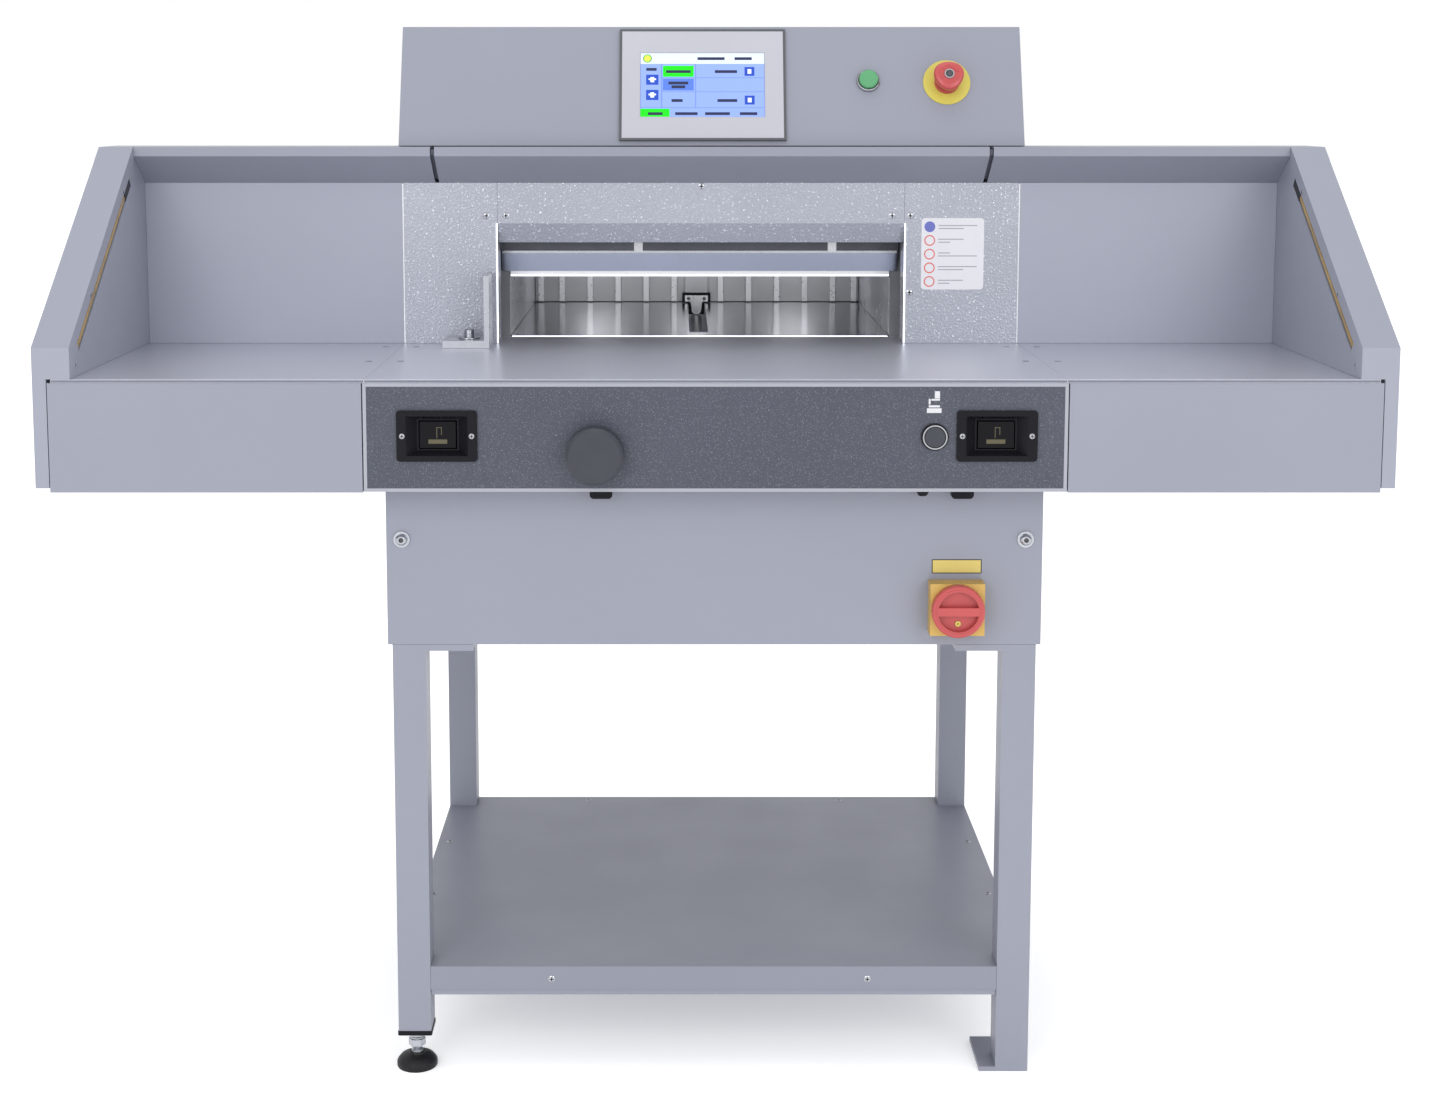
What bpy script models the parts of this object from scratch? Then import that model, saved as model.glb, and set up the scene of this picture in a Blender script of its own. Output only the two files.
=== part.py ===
"""Electric guillotine paper cutter on a stand: every separate piece as its own object, in metres."""

import math

import bmesh
import bpy
from mathutils import Vector

# Driving dimensions. Y is the distance behind the front plane (table edge), Z the height above the floor.
FRONT_Y = -0.492  # front plane in the frame whose origin is the middle of the bounding box
GAP = 0.0003
SHEET = 0.002
LENS_HALF = 0.0065
CANOPY_INNER = 0.365
HOOD_HALF = 0.3595
REAR_END = 1.012
KNOB_FRONT = -0.028

WING_OUTER = 0.793
WING_INNER = 0.749
CENTRE_HALF = 0.408
TABLE_TOP = 0.870
TABLE_THICK = 0.004
BEAM_BOTTOM = 0.738
BEAM_TOP = TABLE_TOP - TABLE_THICK - GAP
PORTAL_Y = 0.371
PORTAL_TOP = 1.084
CANOPY_LIP_Y = 0.315
CANOPY_TOP = 1.132
WING_BACK = 0.400
HEAD_BACK = 0.698

CABINET_HALF = 0.3935
CABINET_BOTTOM = 0.540
CABINET_FRONT = 0.060
CABINET_BACK = 0.696
LEG_OUTER = 0.388
LEG_SIZE = 0.040
LEG_TOP = 0.533
REAR_LEG_FRONT = 0.656
SHELF_TOP = 0.135
FLOOR_PLATE = 0.006

THROAT_LEFT = -0.283
THROAT_RIGHT = 0.256
FRAME_LEFT = -0.275
FRAME_RIGHT = 0.247
FRAME_THICK = 0.025
KNIFE_FRONT = 0.450
KNIFE_BACK = 0.463
KNIFE_EDGE = 0.9595
CLAMP_BOTTOM = 0.952
GAUGE_FACE = 0.954
GAUGE_X = -0.015
SCREW_Z = 0.843
SLOT_HALF = 0.01325

CONSOLE_FOOT = Vector((0.0, 0.335, 1.1333))
CONSOLE_LEAN = math.radians(21.8)
CONSOLE_LENGTH = 0.167
PANEL_THICK = 0.002

CUT_KEYS = {"left": -0.324, "right": 0.3275}
KEY_Z = 0.804
ROUND_BUTTON = (0.255, 0.803)
KNOB = (-0.140, 0.783)
START_BUTTON = (0.206, 0.090)
ESTOP = (0.309, 0.088)
MAIN_SWITCH = (0.2895, 0.5885)
CRANK = (0.291, 0.640)

COLOURS = {
    "paint": ((0.37, 0.385, 0.45), 0.42, 0.0),
    "hammered": ((0.42, 0.43, 0.50), 0.35, 0.2),
    "fascia": ((0.09, 0.10, 0.135), 0.55, 0.0),
    "black_plastic": ((0.02, 0.02, 0.022), 0.35, 0.0),
    "table_steel": ((0.50, 0.50, 0.55), 0.25, 1.0),
    "back_steel": ((0.22, 0.22, 0.24), 0.35, 1.0),
    "zinc": ((0.62, 0.62, 0.64), 0.3, 1.0),
    "cast_frame": ((0.20, 0.20, 0.22), 0.6, 0.4),
    "knife_steel": ((0.55, 0.58, 0.66), 0.2, 1.0),
    "aluminium": ((0.75, 0.76, 0.78), 0.3, 1.0),
    "stick_plastic": ((0.9, 0.9, 0.92), 0.4, 0.0),
    "panel_plastic": ((0.62, 0.62, 0.66), 0.4, 0.0),
    "screen": ((0.45, 0.58, 0.95), 0.15, 0.0),
    "red_plastic": ((0.62, 0.06, 0.06), 0.35, 0.0),
    "yellow_plastic": ((0.62, 0.38, 0.06), 0.4, 0.0),
    "green_plastic": ((0.07, 0.38, 0.14), 0.35, 0.0),
    "knob_plastic": ((0.09, 0.095, 0.10), 0.5, 0.0),
}


def clear_scene():
    for thing in list(bpy.data.objects):
        bpy.data.objects.remove(thing)


def empty(name, location, parent=None):
    thing = bpy.data.objects.new(name, None)
    bpy.context.scene.collection.objects.link(thing)
    thing.parent = parent
    thing.location = location
    return thing


def material(slot):
    made = bpy.data.materials.get(slot)
    if made is None:
        colour, roughness, metallic = COLOURS[slot]
        made = bpy.data.materials.new(slot)
        made.use_nodes = True
        shader = made.node_tree.nodes["Principled BSDF"]
        shader.inputs["Base Color"].default_value = (*colour, 1.0)
        shader.inputs["Roughness"].default_value = roughness
        shader.inputs["Metallic"].default_value = metallic
    return made


# Shapes. Each returns a closed bmesh in the coordinates of its parent.


def block(low, high):
    shape = bmesh.new()
    bmesh.ops.create_cube(shape, size=1.0)
    for vertex in shape.verts:
        for axis in range(3):
            vertex.co[axis] = high[axis] if vertex.co[axis] > 0 else low[axis]
    return shape


def prism(outline, axis, start, end):
    """An outline in the two axes other than `axis`, in X, Y, Z order, extruded from start to end."""
    shape = bmesh.new()
    corners = []
    for first, second in outline:
        place = [first, second]
        place.insert("XYZ".index(axis), start)
        corners.append(shape.verts.new(place))
    face = shape.faces.new(corners)
    sides = bmesh.ops.extrude_face_region(shape, geom=[face])
    shift = Vector((0.0, 0.0, 0.0))
    shift["XYZ".index(axis)] = end - start
    moved = [item for item in sides["geom"] if isinstance(item, bmesh.types.BMVert)]
    bmesh.ops.translate(shape, vec=shift, verts=moved)
    bmesh.ops.recalc_face_normals(shape, faces=shape.faces[:])
    return shape


def turned(profile, centre, axis, steps=24):
    """A (radius, height) profile, from one end of the axis to the other, revolved about the axis."""
    shape = bmesh.new()
    along = "XYZ".index(axis)
    across = [other for other in range(3) if other != along]
    rings = []
    for radius, height in profile:
        ring = []
        for step in range(steps if radius > 0 else 1):
            angle = 2 * math.pi * step / steps
            place = Vector(centre)
            place[along] += height
            place[across[0]] += radius * math.cos(angle)
            place[across[1]] += radius * math.sin(angle)
            ring.append(shape.verts.new(place))
        rings.append(ring)
    for ring, following in zip(rings, rings[1:]):
        for step in range(steps):
            corners = [ring[step % len(ring)], ring[(step + 1) % len(ring)]]
            corners += [following[(step + 1) % len(following)], following[step % len(following)]]
            shape.faces.new(list(dict.fromkeys(corners)))
    for ring in (rings[0], rings[-1]):
        if len(ring) > 1:
            shape.faces.new(ring)
    bmesh.ops.recalc_face_normals(shape, faces=shape.faces[:])
    return shape


def offset_path(path, thickness):
    """The path and its parallel at `thickness` to the left, as one closed outline."""
    points = [Vector(point) for point in path]
    other = []
    for index, point in enumerate(points):
        before = (point - points[index - 1]).normalized() if index else None
        after = (points[index + 1] - point).normalized() if index + 1 < len(points) else None
        before = before or after
        after = after or before
        bisector = Vector((-(before + after).y, (before + after).x)).normalized()
        cosine = bisector.dot(Vector((-before.y, before.x)))
        other.append(point + bisector * thickness / cosine)
    return [tuple(point) for point in points + other[::-1]]


# Objects.


def piece(name, shape, slot, parent, origin=None, smooth=False):
    """One named solid, with its own origin: the middle of its shape, or a point on its joint's axis."""
    corners = [vertex.co for vertex in shape.verts]
    low = Vector([min(corner[axis] for corner in corners) for axis in range(3)])
    high = Vector([max(corner[axis] for corner in corners) for axis in range(3)])
    place = Vector(origin) if origin is not None else (low + high) / 2
    bmesh.ops.translate(shape, vec=-place, verts=shape.verts[:])
    mesh = bpy.data.meshes.new(name)
    shape.to_mesh(mesh)
    shape.free()
    if smooth:
        mesh.shade_smooth()
        mesh.set_sharp_from_angle(angle=math.radians(35))
    mesh.materials.append(material(slot))
    thing = bpy.data.objects.new(name, mesh)
    bpy.context.scene.collection.objects.link(thing)
    thing.parent = parent
    thing.location = place
    return thing


def combine(thing, shape, operation):
    """Adds or removes a shape, given in the parent's coordinates, with a Boolean and a hidden helper."""
    helper = piece(thing.name + "_" + operation.lower(), shape, "paint", thing.parent)
    helper.hide_render = True
    helper.display_type = "WIRE"
    modifier = thing.modifiers.new(operation.title(), "BOOLEAN")
    modifier.operation = operation
    modifier.object = helper
    modifier.solver = "EXACT"


def cut(thing, *shapes):
    for shape in shapes:
        combine(thing, shape, "DIFFERENCE")


def weld(thing, *shapes):
    for shape in shapes:
        combine(thing, shape, "UNION")


def between(first, second):
    return min(first, second), max(first, second)


# Stand.


def leg(parent, side, row):
    """A square tube, open at the top through its top plate; all but the front left leg stand on a plate."""
    sign = -1 if side == "left" else 1
    front = CABINET_FRONT if row == "front" else REAR_LEG_FRONT
    back = front + LEG_SIZE
    x_low, x_high = between(sign * LEG_OUTER, sign * (LEG_OUTER - LEG_SIZE))
    plated = not (side == "left" and row == "front")
    foot = 0.0 if plated else 0.052
    tube = block((x_low, front, foot), (x_high, back, LEG_TOP))
    thing = piece(f"leg_{row}_{side}", tube, "paint", parent)
    plate_x = between(sign * LEG_OUTER, sign * 0.291)
    weld(thing, block((plate_x[0], front, LEG_TOP - 0.001), (plate_x[1], back, CABINET_BOTTOM - GAP)))
    if plated:
        floor_x = between(sign * LEG_OUTER, sign * 0.328)
        floor_y = (front, back + 0.045) if row == "front" else (front - 0.045, back)
        weld(thing, block((floor_x[0], floor_y[0], 0.0), (floor_x[1], floor_y[1], FLOOR_PLATE)))
    wall = 0.0025
    bore_foot = FLOOR_PLATE if plated else foot - 0.01
    bore = block((x_low + wall, front + wall, bore_foot), (x_high - wall, back - wall, CABINET_BOTTOM + 0.01))
    cut(thing, bore)


def levelling_foot(parent):
    centre = (-LEG_OUTER + LEG_SIZE / 2, CABINET_FRONT + LEG_SIZE / 2, 0.0)
    profile = [(0.025, 0.0), (0.025, 0.008), (0.019, 0.014), (0.006, 0.016), (0.006, 0.090)]
    piece("levelling_foot", turned(profile, centre, "Z"), "zinc", parent, centre, smooth=True)


def lower_shelf(parent):
    back = REAR_LEG_FRONT + LEG_SIZE
    notch = LEG_OUTER - LEG_SIZE - GAP
    front_notch = CABINET_FRONT + LEG_SIZE + GAP
    rear_notch = REAR_LEG_FRONT - GAP
    half = [(LEG_OUTER, front_notch), (LEG_OUTER, rear_notch), (notch, rear_notch), (notch, back)]
    outline = [(notch, CABINET_FRONT), (notch, front_notch)] + half
    outline += [(-x, y) for x, y in reversed(outline)]
    shelf = piece("lower_shelf", prism(outline, "Z", SHELF_TOP - 0.030, SHELF_TOP), "paint", parent)
    below = SHELF_TOP - SHEET
    cut(
        shelf,
        block(
            (-LEG_OUTER + SHEET, front_notch + SHEET, 0.0), (LEG_OUTER - SHEET, rear_notch - SHEET, below)
        ),
        block((-0.37, CABINET_FRONT + SHEET, 0.0), (0.37, back - SHEET, below)),
    )


def shelf_rail(parent, row):
    front = CABINET_FRONT + SHEET + GAP if row == "front" else 0.660
    half = LEG_OUTER - LEG_SIZE - 2 * GAP
    top = SHELF_TOP - SHEET - GAP
    rail = piece(
        f"shelf_rail_{row}", block((-half, front, 0.098), (half, front + 0.033, top)), "paint", parent
    )
    cut(rail, block((-half - 0.01, front + SHEET, 0.100), (half + 0.01, front + 0.031, top - SHEET)))


# Base cabinet and drive.


def base_cabinet(parent):
    front = CABINET_FRONT + SHEET + GAP
    low = (-CABINET_HALF, front, CABINET_BOTTOM)
    cabinet = piece(
        "base_cabinet", block(low, (CABINET_HALF, CABINET_BACK, BEAM_TOP - GAP)), "paint", parent
    )
    inside = block(
        (-CABINET_HALF + SHEET, 0.0, CABINET_BOTTOM + SHEET),
        (CABINET_HALF - SHEET, CABINET_BACK - SHEET, 1.0),
    )
    tail_gap = block((-0.306, 0.650, 0.795), (0.278, 0.750, 1.0))
    cut(cabinet, inside, tail_gap)


def base_front_cover(parent):
    low = (-CABINET_HALF, CABINET_FRONT, CABINET_BOTTOM)
    cover = block(low, (CABINET_HALF, CABINET_FRONT + SHEET, BEAM_TOP - GAP))
    piece("base_front_cover", cover, "paint", parent)


def half_moon(x, z, radius, edge, sign):
    """The part of a disc that lies beyond `edge`, above (1) or below (-1) its middle, as (X, Z) corners."""
    start = math.asin(edge / radius)
    steps = 10
    corners = []
    for step in range(steps + 1):
        angle = start + (math.pi - 2 * start) * step / steps
        corners.append((x + radius * math.cos(angle), z + sign * radius * math.sin(angle)))
    return corners


def main_switch(parent):
    """A yellow body, and a red rotary handle with a grip bar between two hollows."""
    x, z = MAIN_SWITCH
    wall = CABINET_FRONT - GAP
    face = wall - 0.025
    body = block((x - 0.0325, face, z - 0.0315), (x + 0.0325, wall, z + 0.0315))
    switch = piece("main_switch_body", body, "yellow_plastic", parent)
    cut(switch, turned([(0.006, -0.01), (0.006, 0.016)], (x, face, z), "Y", 16))
    centre = (x, face, z)
    disc = [(0.0300, -0.012), (0.0315, -0.0105), (0.0315, -GAP), (0.005, -GAP), (0.005, 0.010)]
    handle = piece("main_switch_handle", turned(disc, centre, "Y", 32), "red_plastic", parent, centre, True)
    for sign in (-1, 1):
        hollow = half_moon(x, z, 0.0245, 0.005, sign)
        cut(handle, prism(hollow, "Y", face - 0.020, face - 0.004))


def cable_gland(parent):
    profile = [(0.0045, 0.024), (0.009, 0.024), (0.013, 0.014), (0.013, 0.0), (0.010, 0.0)]
    shape = turned(profile, (0.300, CABINET_BACK + GAP, 0.580), "Y", 16)
    gland = piece("cable_gland", shape, "black_plastic", parent, smooth=True)
    cut(gland, turned([(0.0045, 0.006), (0.0045, 0.050)], (0.300, CABINET_BACK, 0.580), "Y", 12))


def drive(parent):
    x, z = CRANK
    gearbox = block((x - 0.055, 0.330, CABINET_BOTTOM + SHEET + GAP), (x + 0.055, 0.426, z + 0.055))
    motor = piece("drive_motor", gearbox, "cast_frame", parent)
    weld(motor, turned([(0.046, -0.230), (0.046, -0.050)], (x, 0.378, z), "X", 24))
    centre = (x, 0.430, z)
    crank = [(0.015, -0.0035), (0.065, -0.0035), (0.065, 0.012), (0.0, 0.012)]
    disc = piece("drive_crank", turned(crank, centre, "Y", 28), "zinc", parent, centre, True)
    weld(disc, turned([(0.010, 0.008), (0.010, 0.0185)], (x, 0.430, z + 0.0445), "Y", 16))


# Machine frame and tables.


def side_frame(parent, side):
    inner = FRAME_LEFT if side == "left" else FRAME_RIGHT
    outer = FRAME_LEFT - FRAME_THICK if side == "left" else FRAME_RIGHT + FRAME_THICK
    low = CABINET_BOTTOM + SHEET + GAP
    front = KNIFE_BACK + SHEET
    outline = [(front, low), (front, 1.112), (0.690, 1.112), (0.690, 0.995), (0.820, 0.995), (0.820, 0.800)]
    outline += [(0.690, 0.800), (0.690, low)]
    piece(f"side_frame_{side}", prism(outline, "X", *between(inner, outer)), "cast_frame", parent)


def crossbeam(parent):
    low = (FRAME_LEFT + GAP, 0.510, 0.990)
    piece("crossbeam", block(low, (FRAME_RIGHT - GAP, 0.600, 1.105)), "cast_frame", parent)


def tables(parent):
    top_low = TABLE_TOP - TABLE_THICK
    front = block((-CENTRE_HALF, 0.0, top_low), (CENTRE_HALF, KNIFE_FRONT - GAP, TABLE_TOP))
    piece("front_table", front, "table_steel", parent)
    stick = block(
        (FRAME_LEFT + 0.003, KNIFE_FRONT, TABLE_TOP - 0.012), (FRAME_RIGHT - 0.003, 0.464, TABLE_TOP)
    )
    piece("cutting_stick", stick, "stick_plastic", parent)
    low = (FRAME_LEFT + GAP, 0.4645, TABLE_TOP - 0.010)
    back = piece("back_table", block(low, (FRAME_RIGHT - GAP, 1.000, TABLE_TOP)), "back_steel", parent)
    slot_low = (GAUGE_X - SLOT_HALF, 0.507, 0.80)
    cut(back, block(slot_low, (GAUGE_X + SLOT_HALF, 0.990, 0.90)))
    for side, sign in (("left", -1), ("right", 1)):
        x = between(sign * (CENTRE_HALF + GAP), sign * 0.7715)
        plate = block((x[0], 0.0, top_low), (x[1], 0.398, TABLE_TOP))
        piece(f"side_table_{side}", plate, "table_steel", parent)


# Front beam with its controls.


def beam_holes():
    """The openings that the beam's wall and the fascia share."""
    holes = [
        block((x - 0.042, -0.01, KEY_Z - 0.027), (x + 0.042, 0.03, KEY_Z + 0.027)) for x in CUT_KEYS.values()
    ]
    x, z = ROUND_BUTTON
    holes.append(turned([(0.0125, -0.01), (0.0125, 0.03)], (x, 0.0, z), "Y"))
    x, z = KNOB
    holes.append(turned([(0.007, -0.01), (0.007, 0.03)], (x, 0.0, z), "Y", 16))
    return holes


def front_beam(parent):
    half = 0.410
    beam = piece(
        "front_beam",
        block((-half, 0.0, BEAM_BOTTOM), (half, CABINET_FRONT - GAP, BEAM_TOP)),
        "paint",
        parent,
    )
    inside = block((-half + SHEET, 0.003, BEAM_BOTTOM + SHEET), (half - SHEET, 0.1, 0.9))
    recess = block((-0.406, -0.01, BEAM_BOTTOM + 0.004), (0.406, 0.0012, BEAM_TOP - 0.004))
    cut(beam, inside, recess, *beam_holes())
    low = (-0.4057, 0.0, BEAM_BOTTOM + 0.0043)
    fascia = piece("fascia_panel", block(low, (0.4057, 0.0009, BEAM_TOP - 0.0043)), "fascia", parent)
    cut(fascia, *beam_holes())


def frustum(x, z, front, back, front_half, back_half):
    """A tapered block along Y, between two rectangles about (x, z)."""
    shape = block((-1.0, front, -1.0), (1.0, back, 1.0))
    for vertex in shape.verts:
        half = front_half if vertex.co.y < (front + back) / 2 else back_half
        vertex.co.x = x + vertex.co.x * half[0]
        vertex.co.z = z + vertex.co.z * half[1]
    return shape


def rounded_rectangle(x, z, half_width, half_height, radius):
    """A rectangle about (x, z) with round corners, as (X, Z) corners."""
    corners = []
    steps = 4
    for quarter, (way_x, way_z) in enumerate(((1, 1), (-1, 1), (-1, -1), (1, -1))):
        centre_x = x + way_x * (half_width - radius)
        centre_z = z + way_z * (half_height - radius)
        for step in range(steps + 1):
            angle = math.pi / 2 * (quarter + step / steps)
            corners.append((centre_x + radius * math.cos(angle), centre_z + radius * math.sin(angle)))
    return corners


def lobed(shape, centre, amount, inner):
    """Pulls a turned shape, outside the radius `inner`, into three soft lobes about its Y axis."""
    for vertex in shape.verts:
        away = Vector((vertex.co.x - centre[0], vertex.co.z - centre[2]))
        if away.length > inner:
            factor = 1.0 + amount * math.cos(3.0 * math.atan2(away.y, away.x) - math.pi / 2)
            vertex.co.x = centre[0] + away.x * factor
            vertex.co.z = centre[2] + away.y * factor
    return shape


def cut_key(parent, side, key_parent):
    x = CUT_KEYS[side]
    outline = rounded_rectangle(x, KEY_Z, 0.047, 0.030, 0.004)
    bezel = piece(f"button_bezel_{side}", prism(outline, "Y", -0.003, -GAP), "black_plastic", parent)
    weld(bezel, block((x - 0.0405, -0.001, KEY_Z - 0.0255), (x + 0.0405, 0.022, KEY_Z + 0.0255)))
    cut(bezel, frustum(x, KEY_Z, -0.0035, 0.009, (0.0365, 0.0235), (0.0245, 0.0185)))
    cut(bezel, block((x - 0.0225, 0.0, KEY_Z - 0.017), (x + 0.0225, 0.03, KEY_Z + 0.017)))
    key = block((x - 0.021, 0.008, KEY_Z - 0.0155), (x + 0.021, 0.020, KEY_Z + 0.0155))
    piece(f"cut_key_{side}", key, "black_plastic", key_parent)


def round_button(parent):
    x, z = ROUND_BUTTON
    centre = (x, 0.0, z)
    ring = [(0.0125, -0.0045), (0.0145, -0.0045), (0.016, -0.003), (0.016, -GAP), (0.0125, -GAP)]
    collar = piece("round_button_ring", turned(ring, centre, "Y"), "black_plastic", parent, smooth=True)
    cut(collar, turned([(0.0125, -0.01), (0.0125, 0.01)], centre, "Y"))
    cap = [(0.011, -0.0065), (0.012, -0.0055), (0.012, 0.012)]
    piece("round_button", turned(cap, centre, "Y"), "zinc", parent, centre, True)


def handwheel(parent):
    x, z = KNOB
    centre = (x, 0.0, z)
    profile = [(0.030, KNOB_FRONT), (0.0335, KNOB_FRONT + 0.0035), (0.0335, -0.004), (0.006, -0.004)]
    profile.append((0.006, 0.030))
    piece("handwheel", turned(profile, centre, "Y", 40), "knob_plastic", parent, centre, True)


def apron(parent, side):
    """The shallow tray in front of a side table, open at its back."""
    sign = -1 if side == "left" else 1
    x = between(sign * 0.4115, sign * 0.776)
    tray = block((x[0], 0.0, 0.737), (x[1], 0.035, BEAM_TOP))
    thing = piece(f"apron_{side}", tray, "paint", parent)
    cut(thing, block((x[0] + SHEET, SHEET, 0.739), (x[1] - SHEET, 0.05, BEAM_TOP - SHEET)))


# Surround of the side tables, portal and head.


def wing(parent, side):
    """A light column: a deep box above the table and a thin strip below it, open at its foot."""
    sign = -1 if side == "left" else 1
    bend, shoulder = (0.0, 0.907), (CANOPY_LIP_Y, CANOPY_TOP)
    top = [bend, shoulder, (WING_BACK, CANOPY_TOP)]
    strip = [(0.0, 0.742), *top, (WING_BACK, 0.742)]
    thing = piece(
        f"wing_{side}", prism(strip, "X", *between(sign * 0.777, sign * WING_OUTER)), "paint", parent
    )
    foot = TABLE_TOP + GAP
    upper = [(0.0, foot), *top, (WING_BACK, foot)]
    weld(thing, prism(upper, "X", *between(sign * WING_INNER, sign * 0.780)))
    inset = [(SHEET, 0.906), (0.3157, CANOPY_TOP - SHEET), (WING_BACK - SHEET, CANOPY_TOP - SHEET)]
    lower = [(SHEET, 0.700), *inset, (WING_BACK - SHEET, 0.700)]
    cut(thing, prism(lower, "X", *between(sign * 0.779, sign * 0.791)))
    higher = [(SHEET, foot + SHEET), *inset, (WING_BACK - SHEET, foot + SHEET)]
    cut(thing, prism(higher, "X", *between(sign * (WING_INNER + SHEET), sign * 0.785)))
    cut(thing, prism(lens_outline(LENS_HALF), "X", *between(sign * 0.740, sign * 0.755)))


def lens_outline(half):
    """The slot of the light column, parallel to the wing's slope, as (Y, Z) corners."""
    slope = Vector((CANOPY_LIP_Y, CANOPY_TOP - 0.907)).normalized()
    normal = Vector((-slope.y, slope.x))
    start = Vector((0.038, 0.903))
    end = start + slope * 0.318
    corners = [start - normal * half, end - normal * half, end + normal * half, start + normal * half]
    return [tuple(corner) for corner in corners]


def back_panel(parent, side):
    """A tray that stands behind a side table, its flanges to the back."""
    sign = -1 if side == "left" else 1
    x = between(sign * (CENTRE_HALF + GAP), sign * (WING_INNER - GAP))
    low = (x[0], PORTAL_Y, TABLE_TOP + GAP)
    thing = piece(
        f"back_panel_{side}", block(low, (x[1], 0.398, PORTAL_TOP - GAP)), "paint", parent
    )
    inside = (x[0] + SHEET, PORTAL_Y + SHEET, TABLE_TOP + GAP + SHEET)
    cut(thing, block(inside, (x[1] - SHEET, 0.45, PORTAL_TOP - GAP - SHEET)))


def canopy_path(depth):
    """The section of the hood in (Y, Z), from its top's rear edge round the lip to the portal."""
    return [(depth, CANOPY_TOP), (CANOPY_LIP_Y, CANOPY_TOP), (CANOPY_LIP_Y, 1.120), (0.371, PORTAL_TOP)]


def canopies(parent):
    for side, sign in (("left", -1), ("right", 1)):
        path = [*canopy_path(0.398), (0.398, PORTAL_TOP)]
        x = between(sign * CANOPY_INNER, sign * (WING_INNER - GAP))
        sheet = prism(offset_path(path, SHEET), "X", *x)
        piece(f"canopy_{side}", sheet, "paint", parent)
    path = [(0.3335, CANOPY_TOP), *canopy_path(0.3335)[1:]]
    piece("centre_hood", prism(offset_path(path, SHEET), "X", -HOOD_HALF, HOOD_HALF), "paint", parent)


def portal(parent):
    spans = {"left": (-0.4077, THROAT_LEFT - GAP), "right": (THROAT_RIGHT + GAP, 0.4077)}
    for side, (low, high) in spans.items():
        panel = block((low, PORTAL_Y, TABLE_TOP + GAP), (high, PORTAL_Y + SHEET, PORTAL_TOP - GAP))
        piece(f"portal_panel_{side}", panel, "hammered", parent)
    path = [(0.384, 1.004), (PORTAL_Y, 1.030), (PORTAL_Y, PORTAL_TOP - GAP)]
    outline = offset_path(path, -SHEET)
    cover = prism(outline, "X", THROAT_LEFT, THROAT_RIGHT)
    piece("throat_cover", cover, "hammered", parent)


def head_cover(parent):
    low = (-CENTRE_HALF, WING_BACK, TABLE_TOP + GAP)
    cover = piece("head_cover", block(low, (CENTRE_HALF, HEAD_BACK, 1.1305)), "paint", parent)
    inside = (-CENTRE_HALF + SHEET, 0.3, 0.8)
    cut(cover, block(inside, (CENTRE_HALF - SHEET, HEAD_BACK - SHEET, 1.1285)))
    cut(cover, block((-0.306, 0.65, 0.8), (0.278, 0.75, 1.006)))


def rear_table_cover(parent):
    low = (-0.3035, HEAD_BACK + 0.0005, 0.800)
    cover = piece("rear_table_cover", block(low, (0.2755, REAR_END, 1.002)), "paint", parent)
    cut(cover, block((-0.3010, 0.60, 0.7), (0.2730, REAR_END - SHEET, 1.000)))


# Console.


def slant_point(length, depth):
    up = Vector((0.0, math.sin(CONSOLE_LEAN), math.cos(CONSOLE_LEAN)))
    back = Vector((0.0, math.cos(CONSOLE_LEAN), -math.sin(CONSOLE_LEAN)))
    return CONSOLE_FOOT + up * length + back * depth


def console(parent):
    """Everything on the sloped panel is placed by the panel's own frame: X across, Y inwards, Z up."""
    tilted = empty("console_frame", CONSOLE_FOOT, parent)
    tilted.rotation_euler = (-CONSOLE_LEAN, 0.0, 0.0)
    low = (-CENTRE_HALF, 0.0, 0.0)
    panel = piece("console_panel", block(low, (CENTRE_HALF, PANEL_THICK, CONSOLE_LENGTH)), "paint", tilted)
    for x, height in (START_BUTTON, ESTOP):
        cut(panel, turned([(0.0085, -0.01), (0.0085, 0.01)], (x, 0.0, height), "Y", 20))
    touch = block((-0.1205, -0.004, 0.006), (0.0975, -GAP, 0.162))
    bezel = piece("touch_panel", touch, "panel_plastic", tilted)
    cut(bezel, block((-0.0933, -0.01, 0.0386), (0.0698, 0.01, 0.1286)))
    piece("screen", block((-0.093, -0.0034, 0.0389), (0.0695, -GAP, 0.1283)), "screen", tilted)
    x, height = START_BUTTON
    centre = (x, 0.0, height)
    cap = [(0.0115, -0.010), (0.0125, -0.009), (0.0125, -0.0045), (0.008, -0.0045), (0.008, 0.014)]
    piece("start_button", turned(cap, centre, "Y"), "green_plastic", tilted, centre, True)
    x, height = ESTOP
    centre = (x, 0.0, height)
    head = [(0.0135, -0.030), (0.0180, -0.0287), (0.0195, -0.026), (0.0190, -0.020), (0.0138, -0.0150)]
    head += [(0.0138, -0.010), (0.008, -0.010), (0.008, 0.016)]
    mushroom = lobed(turned(head, centre, "Y", 36), centre, 0.045, 0.0145)
    piece("estop_button", mushroom, "red_plastic", tilted, centre, True)


def console_rear_cover(parent):
    foot = slant_point(0.0, PANEL_THICK + GAP)
    top = slant_point(CONSOLE_LENGTH, PANEL_THICK + GAP)
    rear_top, rear_foot = 0.462, 0.505
    outline = [(foot.y, foot.z), (top.y, top.z), (rear_top, top.z), (rear_foot, foot.z)]
    cover = piece(
        "console_rear_cover", prism(outline, "X", -CENTRE_HALF, CENTRE_HALF), "paint", parent
    )
    ceiling = top.z - SHEET
    inside = [(0.300, 1.120), (top.y - 0.020, ceiling), (rear_top - SHEET, ceiling)]
    inside += [(rear_foot - SHEET, foot.z), (rear_foot - SHEET, 1.120)]
    cut(cover, prism(inside, "X", -CENTRE_HALF + SHEET, CENTRE_HALF - SHEET))


# Cutting gear, back gauge and side lay.


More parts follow.
